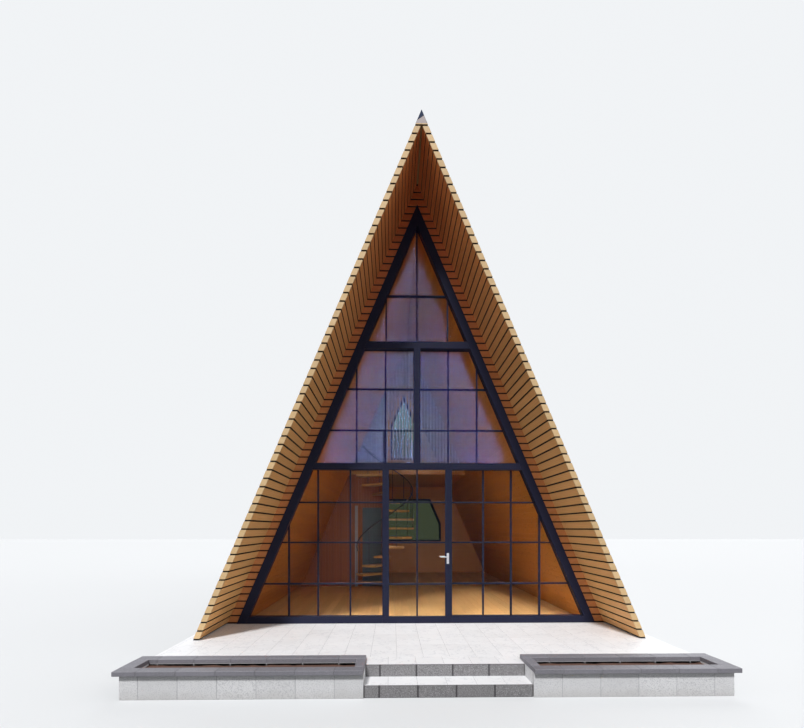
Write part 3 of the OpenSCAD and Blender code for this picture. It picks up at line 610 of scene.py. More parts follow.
def grid_piece(name, x_marks, y_marks, height, foot, finish):
    """A sheet over a grid whose height is a function of its place, with upright sides down to its foot."""
    points = [(x, y, height(x, y)) for y in y_marks for x in x_marks]
    across, count = len(x_marks), len(points)
    faces = [(j * across + i, j * across + i + 1, (j + 1) * across + i + 1, (j + 1) * across + i)
             for j in range(len(y_marks) - 1) for i in range(across - 1)]
    rim = list(range(across)) + [j * across + across - 1 for j in range(1, len(y_marks))]
    rim += [count - 2 - i for i in range(across - 1)] + [j * across for j in range(len(y_marks) - 2, 0, -1)]
    points += [(points[i][0], points[i][1], foot) for i in rim]
    for n, i in enumerate(rim):
        m = (n + 1) % len(rim)
        faces.append((rim[m], i, count + n, count + m))
    made = faced_piece(name, points, faces, finish)
    made.data.shade_smooth()
    return made


soil_finish, tree, shader = new_material("soil", Roughness=1.0)
crumbs = noise_over(tree, object_place(tree), 90.0, 6.0, Roughness=0.65)
lay_on(tree, shader, mix_colour(tree, crumbs, (0.060, 0.028, 0.020), (0.23, 0.115, 0.080)), crumbs, 0.02)
soil_low, soil_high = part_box("planter_soil")
soil_step, clod = 0.012, 0.011


def soil_height(x, y):
    """The soil's top, with broad humps and small lumps, and never above its box."""
    lumps = noise.noise((x * 9, y * 9, 1)) + 0.7 * abs(noise.noise((x * 33, y * 33, 5)))
    return soil_high.z - clod + clod * max(-1.0, min(1.0, lumps))


beds = (("left_soil", soil_low.x, step_left - wall_t), ("right_soil", step_right + wall_t, soil_high.x))
for name, x0, x1 in beds:
    x_marks = np.linspace(x0, x1, int((x1 - x0) / soil_step))
    y_marks = np.linspace(soil_low.y, soil_high.y, int((soil_high.y - soil_low.y) / soil_step))
    fit(grid_piece(name, x_marks, y_marks, soil_height, 0.0, soil_finish), "cabin", "soil", "planter_soil")


# Roof deck. Dark stained boards under the covering show only in the gaps between the soffit boards and
# at the eaves. The roof's layers are counted by their depth below its outer surface, square to the slope.
half_apex = math.radians(23.2)
ridge_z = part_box("ridge_cap")[1].z
cap_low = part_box("ridge_cap")[0].z
roof_front, roof_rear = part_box("ridge_cap")[0].y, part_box("ridge_cap")[1].y
covering_in, deck_in, soffit_in, rake_out, rake_in, panel_in = 0.010, 0.055, 0.075, 0.206, 0.334, 0.293
# A block of infinite depth runs in to the mitre on the centre line, whose half width isn't quite 0.
to_mitre, mitre_half = math.inf, 0.001


def apex_z(depth):
    """Where the two slopes meet at this depth."""
    return ridge_z - depth / math.sin(half_apex)


def half_w(depth, z):
    """Half the width between the two slopes at this depth and height, and never less than the mitre."""
    return max(mitre_half, (apex_z(depth) - z) * math.tan(half_apex))


def meet_z(depth, x):
    """How high an upright line reaches below a slope."""
    return apex_z(depth) - abs(x) / math.tan(half_apex)


def slope_block(stack, side, d_out, d_in, y0, y1, z0, z1, arris, along=1, tone=None):
    """A block that lies in one slope between two depths, with level upper and lower edges."""
    corners = [[side * half_w(d, z), y, z] for z in (z0, z1) for y in (y0, y1) for d in (d_in, d_out)]
    stack.block(corners, arris, along, tone)


def stretched(tree, place, factors):
    """Coordinates times a factor for each axis, which draws a pattern out along the smallest."""
    return add(tree, "VectorMath", {0: place, 1: factors}, operation="MULTIPLY").outputs[0]


# Fine Lines: soft lines drawn out along one axis, as a saw, a brush or polishing leaves them.
fine_lines, given = new_group(
    "Fine Lines", {"Vector": (0, 0, 0), "Stretch": (1, 1, 1), "Detail": 3.0}, Lines="Float")
drawn_out = stretched(fine_lines, given["Vector"], given["Stretch"])
put_out(fine_lines, Lines=noise_over(fine_lines, drawn_out, 1.0, given["Detail"]))


def lined(tree, place, stretch, detail):
    """Lines over these coordinates, through Fine Lines."""
    inputs = {"Vector": place, "Stretch": stretch, "Detail": detail}
    return add(tree, "Group", inputs, node_tree=fine_lines).outputs["Lines"]


deck_stain, tree, shader = new_material("deck_timber", Roughness=0.8)
sawn = lined(tree, object_place(tree), (60, 2, 60), 4.0)
lay_on(tree, shader, mix_colour(tree, sawn, (0.010, 0.006, 0.004), (0.035, 0.020, 0.012)), sawn, 0.001)
dress(deck_stain, 0, "left_roof_deck", "right_roof_deck")


# Roof covering. Light warm-grey mineral felt shingles, nailed to the deck in level courses. Each course
# laps the one below, its tabs are parted by narrow slots, and every tab has its own shade. A dark metal
# trim closes the covering at both gables.
felt = mineral("roof_felt", 0.95, (0.60, 0.57, 0.575), clouds=(3.0, 0.20, 0.18),
               grains=((260.0, 0.42, (0.40, 0.38, 0.385)), (310.0, 0.32, (0.72, 0.70, 0.69))), relief=0.001)

course_h, tab_w, tab_slot, tab_t, tab_arris = 0.145, 0.333, 0.004, 0.0040, 0.0008
least_tab = 0.03
# Depths of a tab's foot, which lies on the course below, and of its head, which is lapped.
foot_depths, head_depths = (0.0008 + tab_t, 0.0008), (0.0080, 0.0046)
underlay_out, underlay_tone = 0.0065, 0.2
verge_w, verge_arris = 0.020, 0.001
verge_front, verge_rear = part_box("roof_covering")[0].y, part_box("roof_covering")[1].y
covering_front, covering_rear = verge_front + verge_w, verge_rear - verge_w
courses = spread(ground_floor, cap_low, course_h * math.cos(half_apex), ground_floor)
underlay, shingles, verges = Joinery(9), Joinery(10), Joinery(11)
for side in (-1, 1):
    for y0, y1 in ((verge_front, covering_front), (covering_rear, verge_rear)):
        slope_block(verges, side, 0, covering_in, y0, y1, ground_floor, cap_low, verge_arris)
    slope_block(underlay, side, underlay_out, covering_in, covering_front, covering_rear, ground_floor,
                cap_low, 0.0, 1, underlay_tone)
    for row, (z0, z1) in enumerate(courses):
        for y0, y1 in spread(covering_front, covering_rear, tab_w, covering_front + (row % 2) * tab_w / 2):
            if y1 - y0 >= least_tab:
                corners = [[side * half_w(d, z), y, z] for z, depths in ((z0, foot_depths), (z1, head_depths))
                           for y in (y0 + tab_slot / 2, y1 - tab_slot / 2) for d in depths]
                shingles.block(corners, tab_arris, 1)
fit(underlay.mesh("roof_underlay", felt), "cabin", "roof_felt", "roof_covering")
fit(shingles.mesh("roof_shingles", felt), "cabin", "roof_felt", "roof_covering")


def coated_metal(name, colour, scale, depth, relief=None, **sockets):
    """Metal under a faintly cloudy coat. A relief is (scale, detail, depth, strength)."""
    made, tree, shader = new_material(name, **sockets)
    place = object_place(tree)
    coat = cloudy(tree, place, colour, scale, depth)
    if relief:
        lay_on(tree, shader, coat, noise_over(tree, place, *relief[:2]), *relief[2:])
    else:
        lay_on(tree, shader, coat)
    return made


cap_metal = coated_metal("ridge_metal", (0.014, 0.024, 0.055), 5.0, 0.5, (3.0, 2.0, 0.004, 0.4),
                         **{"Roughness": 0.55, "Metallic": 0.2, "Specular IOR Level": 0.15})
fit(verges.mesh("verge_trims", cap_metal), "cabin", "ridge_metal", "roof_covering")


# Fascias. Short larch boards close the roof's front and rear edges, one above the other with open level gaps
# that run on into the soffit. Their larch is a paler copy of the soffit's, painted light where the sun falls
# on them. Hidden clips hold them.

# Board Grain: the figure of sawn wood along one axis, and the height of its fibres.
board_grain, given = new_group(
    "Board Grain",
    {"Grain": (0, 0, 0), "Tone": 0.5, "Light": (0.6, 0.4, 0.2, 1), "Dark": (0.3, 0.15, 0.06, 1),
     "Tone Depth": 0.25, "Figure": 0.5}, Color="Color", Height="Float")
lengthwise = stretched(board_grain, given["Grain"], (1.6, 26, 26))
streaks = noise_over(board_grain, lengthwise, 1.0, 5.0, Roughness=0.6)
fibres = noise_over(board_grain, stretched(board_grain, given["Grain"], (9, 420, 420)), 1.0, 2.0)
rings = add(board_grain, "TexWave", {"Vector": stretched(board_grain, given["Grain"], (0.35, 5.0, 5.0)),
                                     "Scale": 2.6, "Distortion": 5.0, "Detail": 2.0, "Detail Scale": 1.2},
            bands_direction="Y")
figured = work_out(board_grain, "MULTIPLY", rings.outputs["Fac"], given["Figure"])
blend = add(board_grain, "Mix", {"Factor": 0.45, 2: figured, 3: streaks}).outputs[0]
blended = add(board_grain, "Mix", {"Factor": 0.25, 2: blend, 3: fibres}).outputs[0]
share = add(board_grain, "MapRange", {"Value": blended, "From Min": 0.12, "From Max": 0.62}).outputs[0]
toned = work_out(board_grain, "SUBTRACT", given["Tone"], 0.5)
level = work_out(board_grain, "MULTIPLY_ADD", toned, given["Tone Depth"], 1.0)
wood = mix_colour(board_grain, share, given["Light"], given["Dark"])
put_out(board_grain, Color=times(board_grain, wood, level), Height=fibres)

# Knots: dark round knots with a soft rim, a few to a board, in the plane of the board's face.
knots, given = new_group("Knots", {"Grain": (0, 0, 0), "Spacing": 7.0, "Share": 0.5}, Knot="Float")
cells = add(knots, "TexVoronoi", {"Vector": given["Grain"], "Scale": given["Spacing"]},
            voronoi_dimensions="2D")
near = add(knots, "MapRange", {"Value": cells.outputs["Distance"], "From Min": 0.04, "From Max": 0.13,
                               "To Min": 1.0, "To Max": 0.0}, interpolation_type="SMOOTHSTEP").outputs[0]
lot = add(knots, "SeparateColor", {0: cells.outputs["Color"]}).outputs[0]
put_out(knots, Knot=work_out(knots, "MULTIPLY", near, work_out(knots, "LESS_THAN", lot, given["Share"])))

# A shader group that makes boards darker and redder towards the top: painted shade where the slopes close in
# under the apex.
painted_apex_shade, given = new_group(
    "Painted Apex Shade", {"Color": (0.5, 0.3, 0.1, 1), "Vector": (0, 0, 0), "Low": 3.4, "High": 6.4,
                  "Tint": (0.96, 0.62, 0.50, 1)}, Color="Color")
height = height_of(painted_apex_shade, given["Vector"])
high_up = add(painted_apex_shade, "MapRange", {"Value": height, "From Min": given["Low"], "From Max": given["High"]})
put_out(painted_apex_shade, Color=mix_colour(painted_apex_shade, high_up.outputs[0], given["Color"], given["Tint"], "MULTIPLY"))


# Knots are darker than the wood. A board's arrises are paler, as wear and painted highlight.
knot_shade, arris_highlight = 0.12, 1.35


def timber(name, light, dark, roughness, tone_depth=0.22, figure=0.5, grain=None, arris_tone=0.25, coat=0.0,
           knotty=0.0, joint=None, relief=0.0006, apex_shade=False):
    """A timber finish. Boards bring their own grain. A solid node gives the order of its axes, length first.
    The sides of a board that face the next one can take a dark colour of their own, painted shade in the
    gaps. Arrises turn paler, with wear and painted highlight, and boards can be painted darker and redder
    high up, as painted shade under the apex. Varnish fills the relief."""
    made, tree, shader = new_material(name, **{"Roughness": roughness, "Coat Weight": coat})
    if grain:
        parts = add(tree, "SeparateXYZ", {0: object_place(tree)}).outputs
        along = add(tree, "CombineXYZ", {n: parts[axis] for n, axis in enumerate(grain)}).outputs[0]
        tone = 0.5
    else:
        along, tone = attribute(tree, "grain"), attribute(tree, "tone")
    wood = add(tree, "Group", {"Grain": along, "Tone": tone, "Light": light, "Dark": dark,
                               "Tone Depth": tone_depth, "Figure": figure}, node_tree=board_grain)
    colour = wood.outputs["Color"]
    # High up, boards turn darker and redder: painted shade under the apex.
    if apex_shade:
        inputs = {"Color": colour, "Vector": object_place(tree)}
        colour = add(tree, "Group", inputs, node_tree=painted_apex_shade).outputs["Color"]
    if knotty:
        spots = add(tree, "Group", {"Grain": along, "Share": knotty}, node_tree=knots).outputs["Knot"]
        colour = mix_colour(tree, spots, colour, tuple(knot_shade * c for c in dark))
    if joint:
        colour = mix_colour(tree, attribute(tree, "joint"), colour, joint)
    # A board's arrises turn paler: wear and painted highlight.
    if not grain:
        colour = wear_and_highlight_edges(tree, colour, arris_tone, tuple(min(1.0, arris_highlight * c) for c in light))
    lay_on(tree, shader, colour, wood.outputs["Height"], relief)
    return made


board_pitch, board_gap, first_gap = 0.1131, 0.021, ground_floor + 0.0145
board_n = int((cap_low - first_gap) / board_pitch)
levels = [(first_gap + n * board_pitch + board_gap / 2, first_gap + (n + 1) * board_pitch - board_gap / 2)
          for n in range(board_n)]
closing_low, closing_arris, closing_tone = first_gap + board_n * board_pitch + board_gap / 2, 0.001, 0.6

# Board sides that face a gap are nearly black: painted shade in the gaps.
gap_shade = (0.022, 0.012, 0.008)
# A paler larch: painted light on the sunlit fascias.
sunlit_larch = timber("edge_timber", (0.675, 0.48, 0.268), (0.55, 0.365, 0.170), 0.6, tone_depth=0.14,
                    joint=gap_shade)
fascia_t, fascia_arris = 0.020, 0.0025
for name, y0, y1 in (("front_fascia", roof_front, roof_front + fascia_t),
                     ("rear_fascia", roof_rear - fascia_t, roof_rear)):
    boards = Joinery(name)
    for z0, z1 in levels:
        for side in (-1, 1):
            slope_block(boards, side, 0, soffit_in, y0, y1, z0, z1, fascia_arris, 0)
    for side in (-1, 1):
        slope_block(boards, side, 0, to_mitre, y0, y1, closing_low, cap_low, closing_arris, 0, closing_tone)
    fit(boards.mesh(name + "_boards", sunlit_larch), "cabin", "edge_timber", name)


# Soffits. Oiled larch boards run from front to rear under the deck, one above the other, with the same
# open gaps as the fascias.
# The soffit's boards are painted darker and redder towards the apex, as painted shade.
soffit_larch = timber("soffit_timber", (0.80, 0.44, 0.172), (0.64, 0.32, 0.107), 0.55, tone_depth=0.14,
                      arris_tone=0.1, joint=gap_shade, apex_shade=True)
soffit_arris, least_board = 0.002, 0.01
for name in ("front_soffit", "rear_soffit"):
    y0, y1 = (corner.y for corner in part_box(name))
    boards = Joinery(name)
    for z0, z1 in levels:
        for side in (-1, 1):
            if apex_z(soffit_in) - z0 > least_board:
                slope_block(boards, side, deck_in, soffit_in, y0, y1, z0, z1, soffit_arris)
    fit(boards.mesh(name + "_boards", soffit_larch), "cabin", "soffit_timber", name)


# Front band. Level larch boards fill the strip between the soffit and the black frame, on a dark stained
# backing. Above the frame's apex they run straight across.
band_front, band_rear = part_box("left_front_band")[0].y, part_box("left_front_band")[1].y
band_t, band_arris, tuck = 0.020, 0.002, 0.030
band_back = band_front + band_t
frame_apex = apex_z(rake_out)
boards, backing = Joinery(21), Joinery(22)
for z0, z1 in levels:
    if z0 > frame_apex:
        corners = [[x * half_w(deck_in, z), y, z] for z in (z0, z1) for y in (band_front, band_back)
                   for x in (-1, 1)]
        boards.block(corners, band_arris, 0)
    else:
        for side in (-1, 1):
            slope_block(boards, side, deck_in, rake_out + tuck, band_front, band_back, z0, z1, band_arris, 0)
for side in (-1, 1):
    slope_block(backing, side, deck_in, rake_out, band_back, band_rear, ground_floor, frame_apex, 0.0)
    slope_block(backing, side, deck_in, to_mitre, band_back, band_rear, frame_apex, apex_z(deck_in), 0.0)
# A darker, redder copy of the soffit's larch: painted shade under the overhang.
shaded_band_larch = timber("band_timber", (0.66, 0.275, 0.100), (0.52, 0.195, 0.060), 0.55, tone_depth=0.16,
                    arris_tone=0.1, joint=gap_shade, apex_shade=True)
fit(boards.mesh("front_band_boards", shaded_band_larch), "cabin", "soffit_timber",
    "left_front_band", "right_front_band")
fit(backing.mesh("front_band_backing", deck_stain), "cabin", "deck_timber",
    "left_front_band", "right_front_band")


# Ridge. A folded cap of dark metal, in lengths that lap each other, runs over a timber beam. At both ends a
# pale plate closes it, and a dark triangle of sheet lies over the plate's upper part, reaching lower on one
# side than on the other.
dress(timber("ridge_timber", (0.60, 0.36, 0.16), (0.42, 0.22, 0.08), 0.6, grain="YZX"), 0, "ridge_beam")
plate_metal = coated_metal("ridge_end_metal", (0.245, 0.210, 0.206), 20.0, 0.3, Roughness=0.5, Metallic=0.3)


def shaped_piece(name, shape, *finishes):
    """A piece from a shape that was worked face by face."""
    mesh = bpy.data.meshes.new(name)
    shape.to_mesh(mesh)
    shape.free()
    for finish in finishes:
        mesh.materials.append(finish)
    return put_in_scene(name, mesh)


def plate_piece(name, outlines, finish):
    """Plates with outlines in X and Z, given as (points, y_front, y_back), kept in one mesh."""
    shape = bmesh.new()
    for points, y0, y1 in outlines:
        front = shape.faces.new([shape.verts.new((x, y0, z)) for x, z in points])
        moved = bmesh.ops.extrude_face_region(shape, geom=[front])["geom"]
        corners = [part for part in moved if isinstance(part, bmesh.types.BMVert)]
        bmesh.ops.translate(shape, vec=(0, y1 - y0, 0), verts=corners)
    bmesh.ops.recalc_face_normals(shape, faces=shape.faces)
    return shaped_piece(name, shape, finish)


def ridge_sheet(d_out, d_in):
    """The folded sheet's outline: over the ridge on its outer side, and back inside it."""
    foot_out, foot_in = half_w(d_out, cap_low), half_w(d_in, cap_low)
    return [(-foot_out, cap_low), (-foot_in, cap_low), (0, apex_z(d_in)), (foot_in, cap_low),
            (foot_out, cap_low), (0, apex_z(d_out))]


cap_out, cap_in, cap_length, cap_lap, lap_lift = 0.0015, 0.004, 2.05, 0.06, 0.0015
end_t = 0.002
cap_sheets = []
# Every second length lies on top and laps both of its neighbours.
for n, (y0, y1) in enumerate(spread(roof_front + end_t, roof_rear - end_t, cap_length, roof_front)):
    lift, lap = (lap_lift, cap_lap) if n % 2 else (0.0, 0.0)
    sheet_rear = min(y1 + lap, roof_rear - end_t)
    cap_sheets.append((ridge_sheet(cap_out - lift, cap_in - lift), y0 - lap, sheet_rear))
fit(plate_piece("ridge_cap_sheets", cap_sheets, cap_metal), "cabin", "ridge_metal", "ridge_cap")

wedge_low, wedge_high = cap_low + 0.042, cap_low + 0.110
closed = [(-half_w(0, cap_low), cap_low), (half_w(0, cap_low), cap_low), (0, ridge_z)]
for name, y_plate, y_flap, mirror in (("front", roof_front + end_t, roof_front, 1),
                                      ("rear", roof_rear - 2 * end_t, roof_rear - end_t, -1)):
    dark_wedge = [(-mirror * half_w(0, wedge_low), wedge_low), (mirror * half_w(0, wedge_high), wedge_high),
            (0, ridge_z)]
    flat_plate = plate_piece(name + "_ridge_plate", [(closed, y_plate, y_plate + end_t)], plate_metal)
    fit(flat_plate, "cabin", "ridge_metal", "ridge_cap")
    dark_end_sheet = plate_piece(name + "_ridge_dark_wedge", [(dark_wedge, y_flap, y_flap + end_t)], cap_metal)
    fit(dark_end_sheet, "cabin", "ridge_metal", "ridge_cap")


# Glazing frame. Box sections of powder-coated metal, blue-black and satin, are welded into the A shape
# with two transoms, a centre post, bottom rails and door posts.
frame_coat = coated_metal("frame_metal", (0.018, 0.020, 0.043), 2.0, 0.3, (900.0, 1.0, 0.0002, 1.0),
                          **{"Roughness": 0.45, "Metallic": 0.0, "Specular IOR Level": 0.10})
dress(frame_coat, 0.003, "left_rake", "right_rake", "upper_transom", "main_transom", "centre_post",
      "bottom_rails", "left_door_post", "right_door_post")


# Glass. Double glazing is held in the frame's rebates. The front panes are clear, mirror their surroundings
# with a cool tint and let the lamps through. The rear panes are tinted dark green, and a lighter blue-green
# above the loft floor, painted light for the brighter daylight seen through the upper window.
loft_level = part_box("loft_floor")[1].z


def glass_finish(name, tint, upper_tint=None):
    """Glass of one tint, or with another one above the loft floor."""
    made, tree, shader = new_material(
        name, **{"Base Color": tint, "Roughness": 0.0, "IOR": 1.45, "Transmission Weight": 1.0,
                 "Specular Tint": (0.0185, 0.026, 0.064)})
    clear = add(tree, "BsdfTransparent", {"Color": tint})
    if upper_tint:
        above = work_out(tree, "GREATER_THAN", height_of(tree, object_place(tree)), loft_level)
        tinted = mix_colour(tree, above, tint, upper_tint)
        tree.links.new(tinted, shader.inputs["Base Color"])
        tree.links.new(tinted, clear.inputs["Color"])
    shadow = add(tree, "LightPath").outputs["Is Shadow Ray"]
    passed = add(tree, "MixShader", {0: shadow, 1: shader.outputs[0], 2: clear.outputs[0]})
    tree.links.new(passed.outputs[0], tree.nodes["out"].inputs["Surface"])
    return made


dress(glass_finish("glass", (0.97, 0.98, 0.98)), 0, "top_glass", "middle_glass", "lower_glass", "door_glass")
# The lighter tint above the loft floor is painted light.
dress(glass_finish("rear_glass", (0.045, 0.055, 0.028), (0.045, 0.092, 0.088)), 0, "rear_glass")


# Glazing bars. Slim metal bars on both faces of the glass part each storey into panes. The upright bars
# run through, and those on the door move with its leaf.
bar_w, bar_bite, bar_arris = 0.024, 0.006, 0.003
outer_bar, inner_bar = 0.022, 0.016
glass_low, glass_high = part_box("lower_glass")
fixed_depths = ((glass_low.y - outer_bar, glass_low.y), (glass_high.y, glass_high.y + inner_bar))
door_pane_low, door_pane_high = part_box("door_glass")
door_depths = ((door_pane_low.y - outer_bar, door_pane_low.y), (door_pane_high.y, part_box("door_leaf")[1].y))
transom_low, transom_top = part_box("main_transom")[0].z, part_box("main_transom")[1].z
upper_low, upper_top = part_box("upper_transom")[0].z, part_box("upper_transom")[1].z
rail_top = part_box("bottom_rails")[1].z
post_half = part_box("centre_post")[1].x
door_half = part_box("right_door_post")[1].x
lower_rungs = [1.908, 1.270, 0.613]
# Each storey's foot and head, how far out its level bars start, where its upright bars stand along X, and
# the heights of its level bars above the floor.
storeys = {
    "top_storey": (upper_top, apex_z(rake_in), 0.0, [0.0, -0.49, 0.49], [5.200]),
    "middle_storey": (transom_top, upper_low, post_half, [-0.50, 0.50, -0.96, 0.96], [3.713, 3.057]),
    "lower_storey": (rail_top, transom_low, door_half, [-2.036, -1.573, -1.061, 1.0625, 1.511, 1.969],
                     lower_rungs),
}


def upright_bar(stack, x, z0, z1, depths, slope=True):
    """A pair of bars at one place along X, cut to the slope where they reach it."""
    sides = (x - bar_w / 2, x + bar_w / 2)
    for y0, y1 in depths:
        corners = [[xe, y, z0 - bar_bite] for y in (y0, y1) for xe in sides]
        corners += [[xe, y, min(z1 + bar_bite, meet_z(rake_in - bar_bite, xe)) if slope else z1 + bar_bite]
                    for y in (y0, y1) for xe in sides]
        stack.block(corners, bar_arris, 2)


def level_bar(stack, x0, x1, z, depths, slope_side=0):
    """A pair of bars at one height. An end on a slope is cut to it."""
    for y0, y1 in depths:
        corners = []
        for ze in (z - bar_w / 2, z + bar_w / 2):
            far = slope_side * half_w(rake_in - bar_bite, ze) if slope_side else x1
            corners += [[xe, y, ze] for y in (y0, y1) for xe in sorted((x0, far))]
        stack.block(corners, bar_arris, 0)


for name, (z_low, z_top, inner, uprights, rungs) in storeys.items():
    bars = Joinery(name)
    for x in uprights:
        upright_bar(bars, x, z_low, z_top, fixed_depths)
    for z in rungs:
        for side in (-1, 1):
            level_bar(bars, side * max(0.0, inner - bar_bite), 0, ground_floor + z, fixed_depths, side)
    fit(bars.mesh(name + "_bars", frame_coat), "cabin", "frame_metal")

pane_inset = 0.012
pane_half = door_pane_high.x - pane_inset + bar_bite
bars = Joinery(31)
upright_bar(bars, 0.0, door_pane_low.z + pane_inset, door_pane_high.z - pane_inset, door_depths, False)
for z in lower_rungs:
    level_bar(bars, -pane_half, pane_half, ground_floor + z, door_depths)
fit(bars.mesh("door_bars", frame_coat), "door", "frame_metal")


# Door. The leaf is a slim metal frame round its own glass. Black seal strips cover the gap round it, and it
# closes over a ribbed sill. Its plates, lever and hinges are brushed steel, and screws hold the plates.
dress(frame_coat, 0.002, "door_leaf")
leaf_low, leaf_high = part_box("door_leaf")
seal_t, lip_clear, seal_bite, seal_arris = 0.0035, 0.0008, 0.008, 0.0008
seal_top = leaf_high.z + seal_bite
post_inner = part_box("right_door_post")[0].x
seals = Joinery(33)
for side in (-1, 1):
    outer, middle, lip = (side * x for x in (post_inner + seal_bite, post_inner, leaf_high.x - seal_bite))
    for x0, x1, back in ((outer, middle, 0.0), (middle, lip, -lip_clear)):
        seals.box((min(x0, x1), -seal_t, leaf_low.z), (max(x0, x1), back, seal_top), seal_arris, 2)
for z0, z1 in ((leaf_high.z - seal_bite, seal_top), (ground_floor, leaf_low.z + seal_bite)):
    seals.box((-post_inner, -seal_t, z0), (post_inner, -lip_clear, z1), seal_arris, 0)
fit(seals.mesh("door_seals", frame_coat), "cabin", "frame_metal")

sill_low, sill_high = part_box("threshold")
sill_arris, rib_w, rib_rise, rib_arris, hair = 0.001, 0.008, 0.002, 0.0006, 1e-4
rib_foot = sill_high.z - rib_rise
sill = Joinery(34)
sill.box(sill_low, (sill_high.x, sill_high.y, rib_foot), sill_arris)
for y0, y1 in spread(sill_low.y, sill_high.y, 2 * rib_w):
    sill.box((sill_low.x, y0, rib_foot - hair), (sill_high.x, min(y0 + rib_w, y1), sill_high.z), rib_arris)
fit(sill.mesh("ribbed_threshold", frame_coat), "cabin", "frame_metal", "threshold")

silver, tree, shader = new_material("silver", Roughness=0.30, Metallic=1.0)
brushed = lined(tree, object_place(tree), (900, 900, 12), 3.0)
lay_on(tree, shader, mix_colour(tree, brushed, (0.62, 0.62, 0.64), (0.82, 0.82, 0.84)), brushed, 0.0001)
dress(silver, 0, "door_lever", "frame_hinges", "leaf_hinges")
dress(silver, 0.0012, "door_plates")

plate_low, plate_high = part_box("door_plates")
plate_x = (plate_low.x + plate_high.x) / 2
screw_r, screw_rise, screw_inset = 0.0032, 0.0012, 0.011
lying = Matrix.Rotation(math.radians(90), 4, "X")
shape = bmesh.new()
for y, away, head_r in ((plate_low.y, -1, 0.8 * screw_r), (plate_high.y, 1, screw_r)):
    for z in (plate_low.z + screw_inset, plate_high.z - screw_inset):
        placed = Matrix.Translation((plate_x, y + away * screw_rise / 2, z)) @ lying
        bmesh.ops.create_cone(shape, cap_ends=True, segments=20, radius1=screw_r, radius2=head_r,
                              depth=screw_rise, matrix=placed)
fit(shaped_piece("plate_screws", shape, silver), "door", "silver")


# Floor. Varnished golden boards, 140 mm wide, run from front to rear on battens. Their end joints move on
# from row to row.
end_shift = 0.37


def staggered(start, end, length, row):
    """The lengths of boards in one row, with its end joints moved on from the last row's."""
    return spread(start, end, length, start + (row * end_shift % 1) * length)


floor_wood = timber("floor_timber", (0.69, 0.405, 0.158), (0.58, 0.31, 0.11), 0.45, tone_depth=0.20,
                    figure=0.3, arris_tone=0.0, coat=0.2, relief=0.0003)
floor_low, floor_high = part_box("floor_boards")
floor_pitch, floor_length, floor_joint, floor_arris = 0.14, 2.4, 0.0015, 0.001
half_joint = floor_joint / 2
boards = Joinery(41)
for row, (x0, x1) in enumerate(spread(floor_low.x, floor_high.x, floor_pitch, floor_low.x)):
    for y0, y1 in staggered(floor_low.y, floor_high.y, floor_length, row):
        if min(y1 - y0, x1 - x0) > 4 * floor_joint:
            boards.box((x0 + half_joint, y0 + half_joint, floor_low.z),
                       (x1 - half_joint, y1 - half_joint, floor_high.z), floor_arris, 1)
fit(boards.mesh("floor_planks", floor_wood), "cabin", "floor_timber", "floor_boards")


# Roof lining. Varnished pine boards with small knots run from front to rear on the inside of the
# insulated panels, with a fine V joint between them.
lining_pine = timber("lining_timber", (0.48, 0.190, 0.028), (0.42, 0.155, 0.019), 0.5, tone_depth=0.15,
                     figure=0.1, arris_tone=0.0, coat=0.1, knotty=0.6, relief=0.0003)
lining_t, lining_pitch, lining_length, lining_arris, fine_gap = 0.012, 0.100, 3.0, 0.0025, 0.0003
shortest_board, lowest_board = 0.05, 0.01
lining_out = panel_in - lining_t
core_apex = apex_z(lining_out)
lining_rows = spread(ground_floor, apex_z(panel_in), lining_pitch * math.cos(half_apex))
panel_front, panel_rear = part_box("left_roof_panel")[0].y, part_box("left_roof_panel")[1].y
for name, side in (("left_roof_panel", -1), ("right_roof_panel", 1)):
    boards, core = Joinery(name), Joinery(51)
    for row, (z0, z1) in enumerate(lining_rows):
        for y0, y1 in staggered(panel_front, panel_rear, lining_length, row):
            if y1 - y0 > shortest_board and z1 - z0 > lowest_board:
                slope_block(boards, side, lining_out, panel_in, y0, y1, z0 + fine_gap, z1 - fine_gap,
                            lining_arris)
    slope_block(core, side, deck_in, lining_out, panel_front, panel_rear, ground_floor, core_apex, 0.0)
    slope_block(core, side, deck_in, to_mitre, panel_front, panel_rear, core_apex, cap_low, 0.0)
    fit(boards.mesh(name + "_lining", lining_pine), "cabin", "lining_timber", name)
    fit(core.mesh(name + "_core", deck_stain), "cabin", "lining_timber", name)


# Rear wall. Level larch boards outside, at the same levels as the soffit's, are nailed to a dark sheet.
# Inside, the wall is lined with pine. Two windows with black frames light the rooms.
inner_pine = timber("wall_lining", (0.60, 0.26, 0.065), (0.46, 0.175, 0.040), 0.45, grain="XZY")
wall_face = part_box("rear_wall")[1].y
wall_board_t = 0.020
board_back = wall_face - wall_board_t
shape = bmesh.new()
shape.from_mesh(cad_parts["rear_wall"].data)
bmesh.ops.remove_doubles(shape, verts=shape.verts, dist=1e-5)
shape.normal_update()
for vert in {v for face in shape.faces if face.normal.y > 0.99 for v in face.verts}:
    vert.co.y -= wall_board_t
shape.normal_update()
for face in shape.faces:
    face.material_index = 1 if face.normal.y < -0.5 else 0
    face.smooth = False
fit(shaped_piece("rear_wall_core", shape, deck_stain, inner_pine), "cabin", "deck_timber", "rear_wall")

# The upper window has no head: its sides lean in with the roof until they meet.
lower_window = {"half": 1.256, "sill": ground_floor + 1.044, "shoulder": ground_floor + 1.652,
                "head": ground_floor + 2.480}
upper_window = {"half": 0.450, "sill": ground_floor + 3.800, "shoulder": ground_floor + 4.950,
                "head": math.inf}
windows = (lower_window, upper_window)
window_marks = {window[key] for window in windows for key in ("sill", "shoulder", "head")}


def window_half(window, z):
    """Half the opening's width at this height, or nothing above or below it."""
    apex = window["shoulder"] + window["half"] / math.tan(half_apex)
    if z <= window["sill"] or z >= min(window["head"], apex):
        return 0.0
    return window["half"] - max(0.0, z - window["shoulder"]) * math.tan(half_apex)


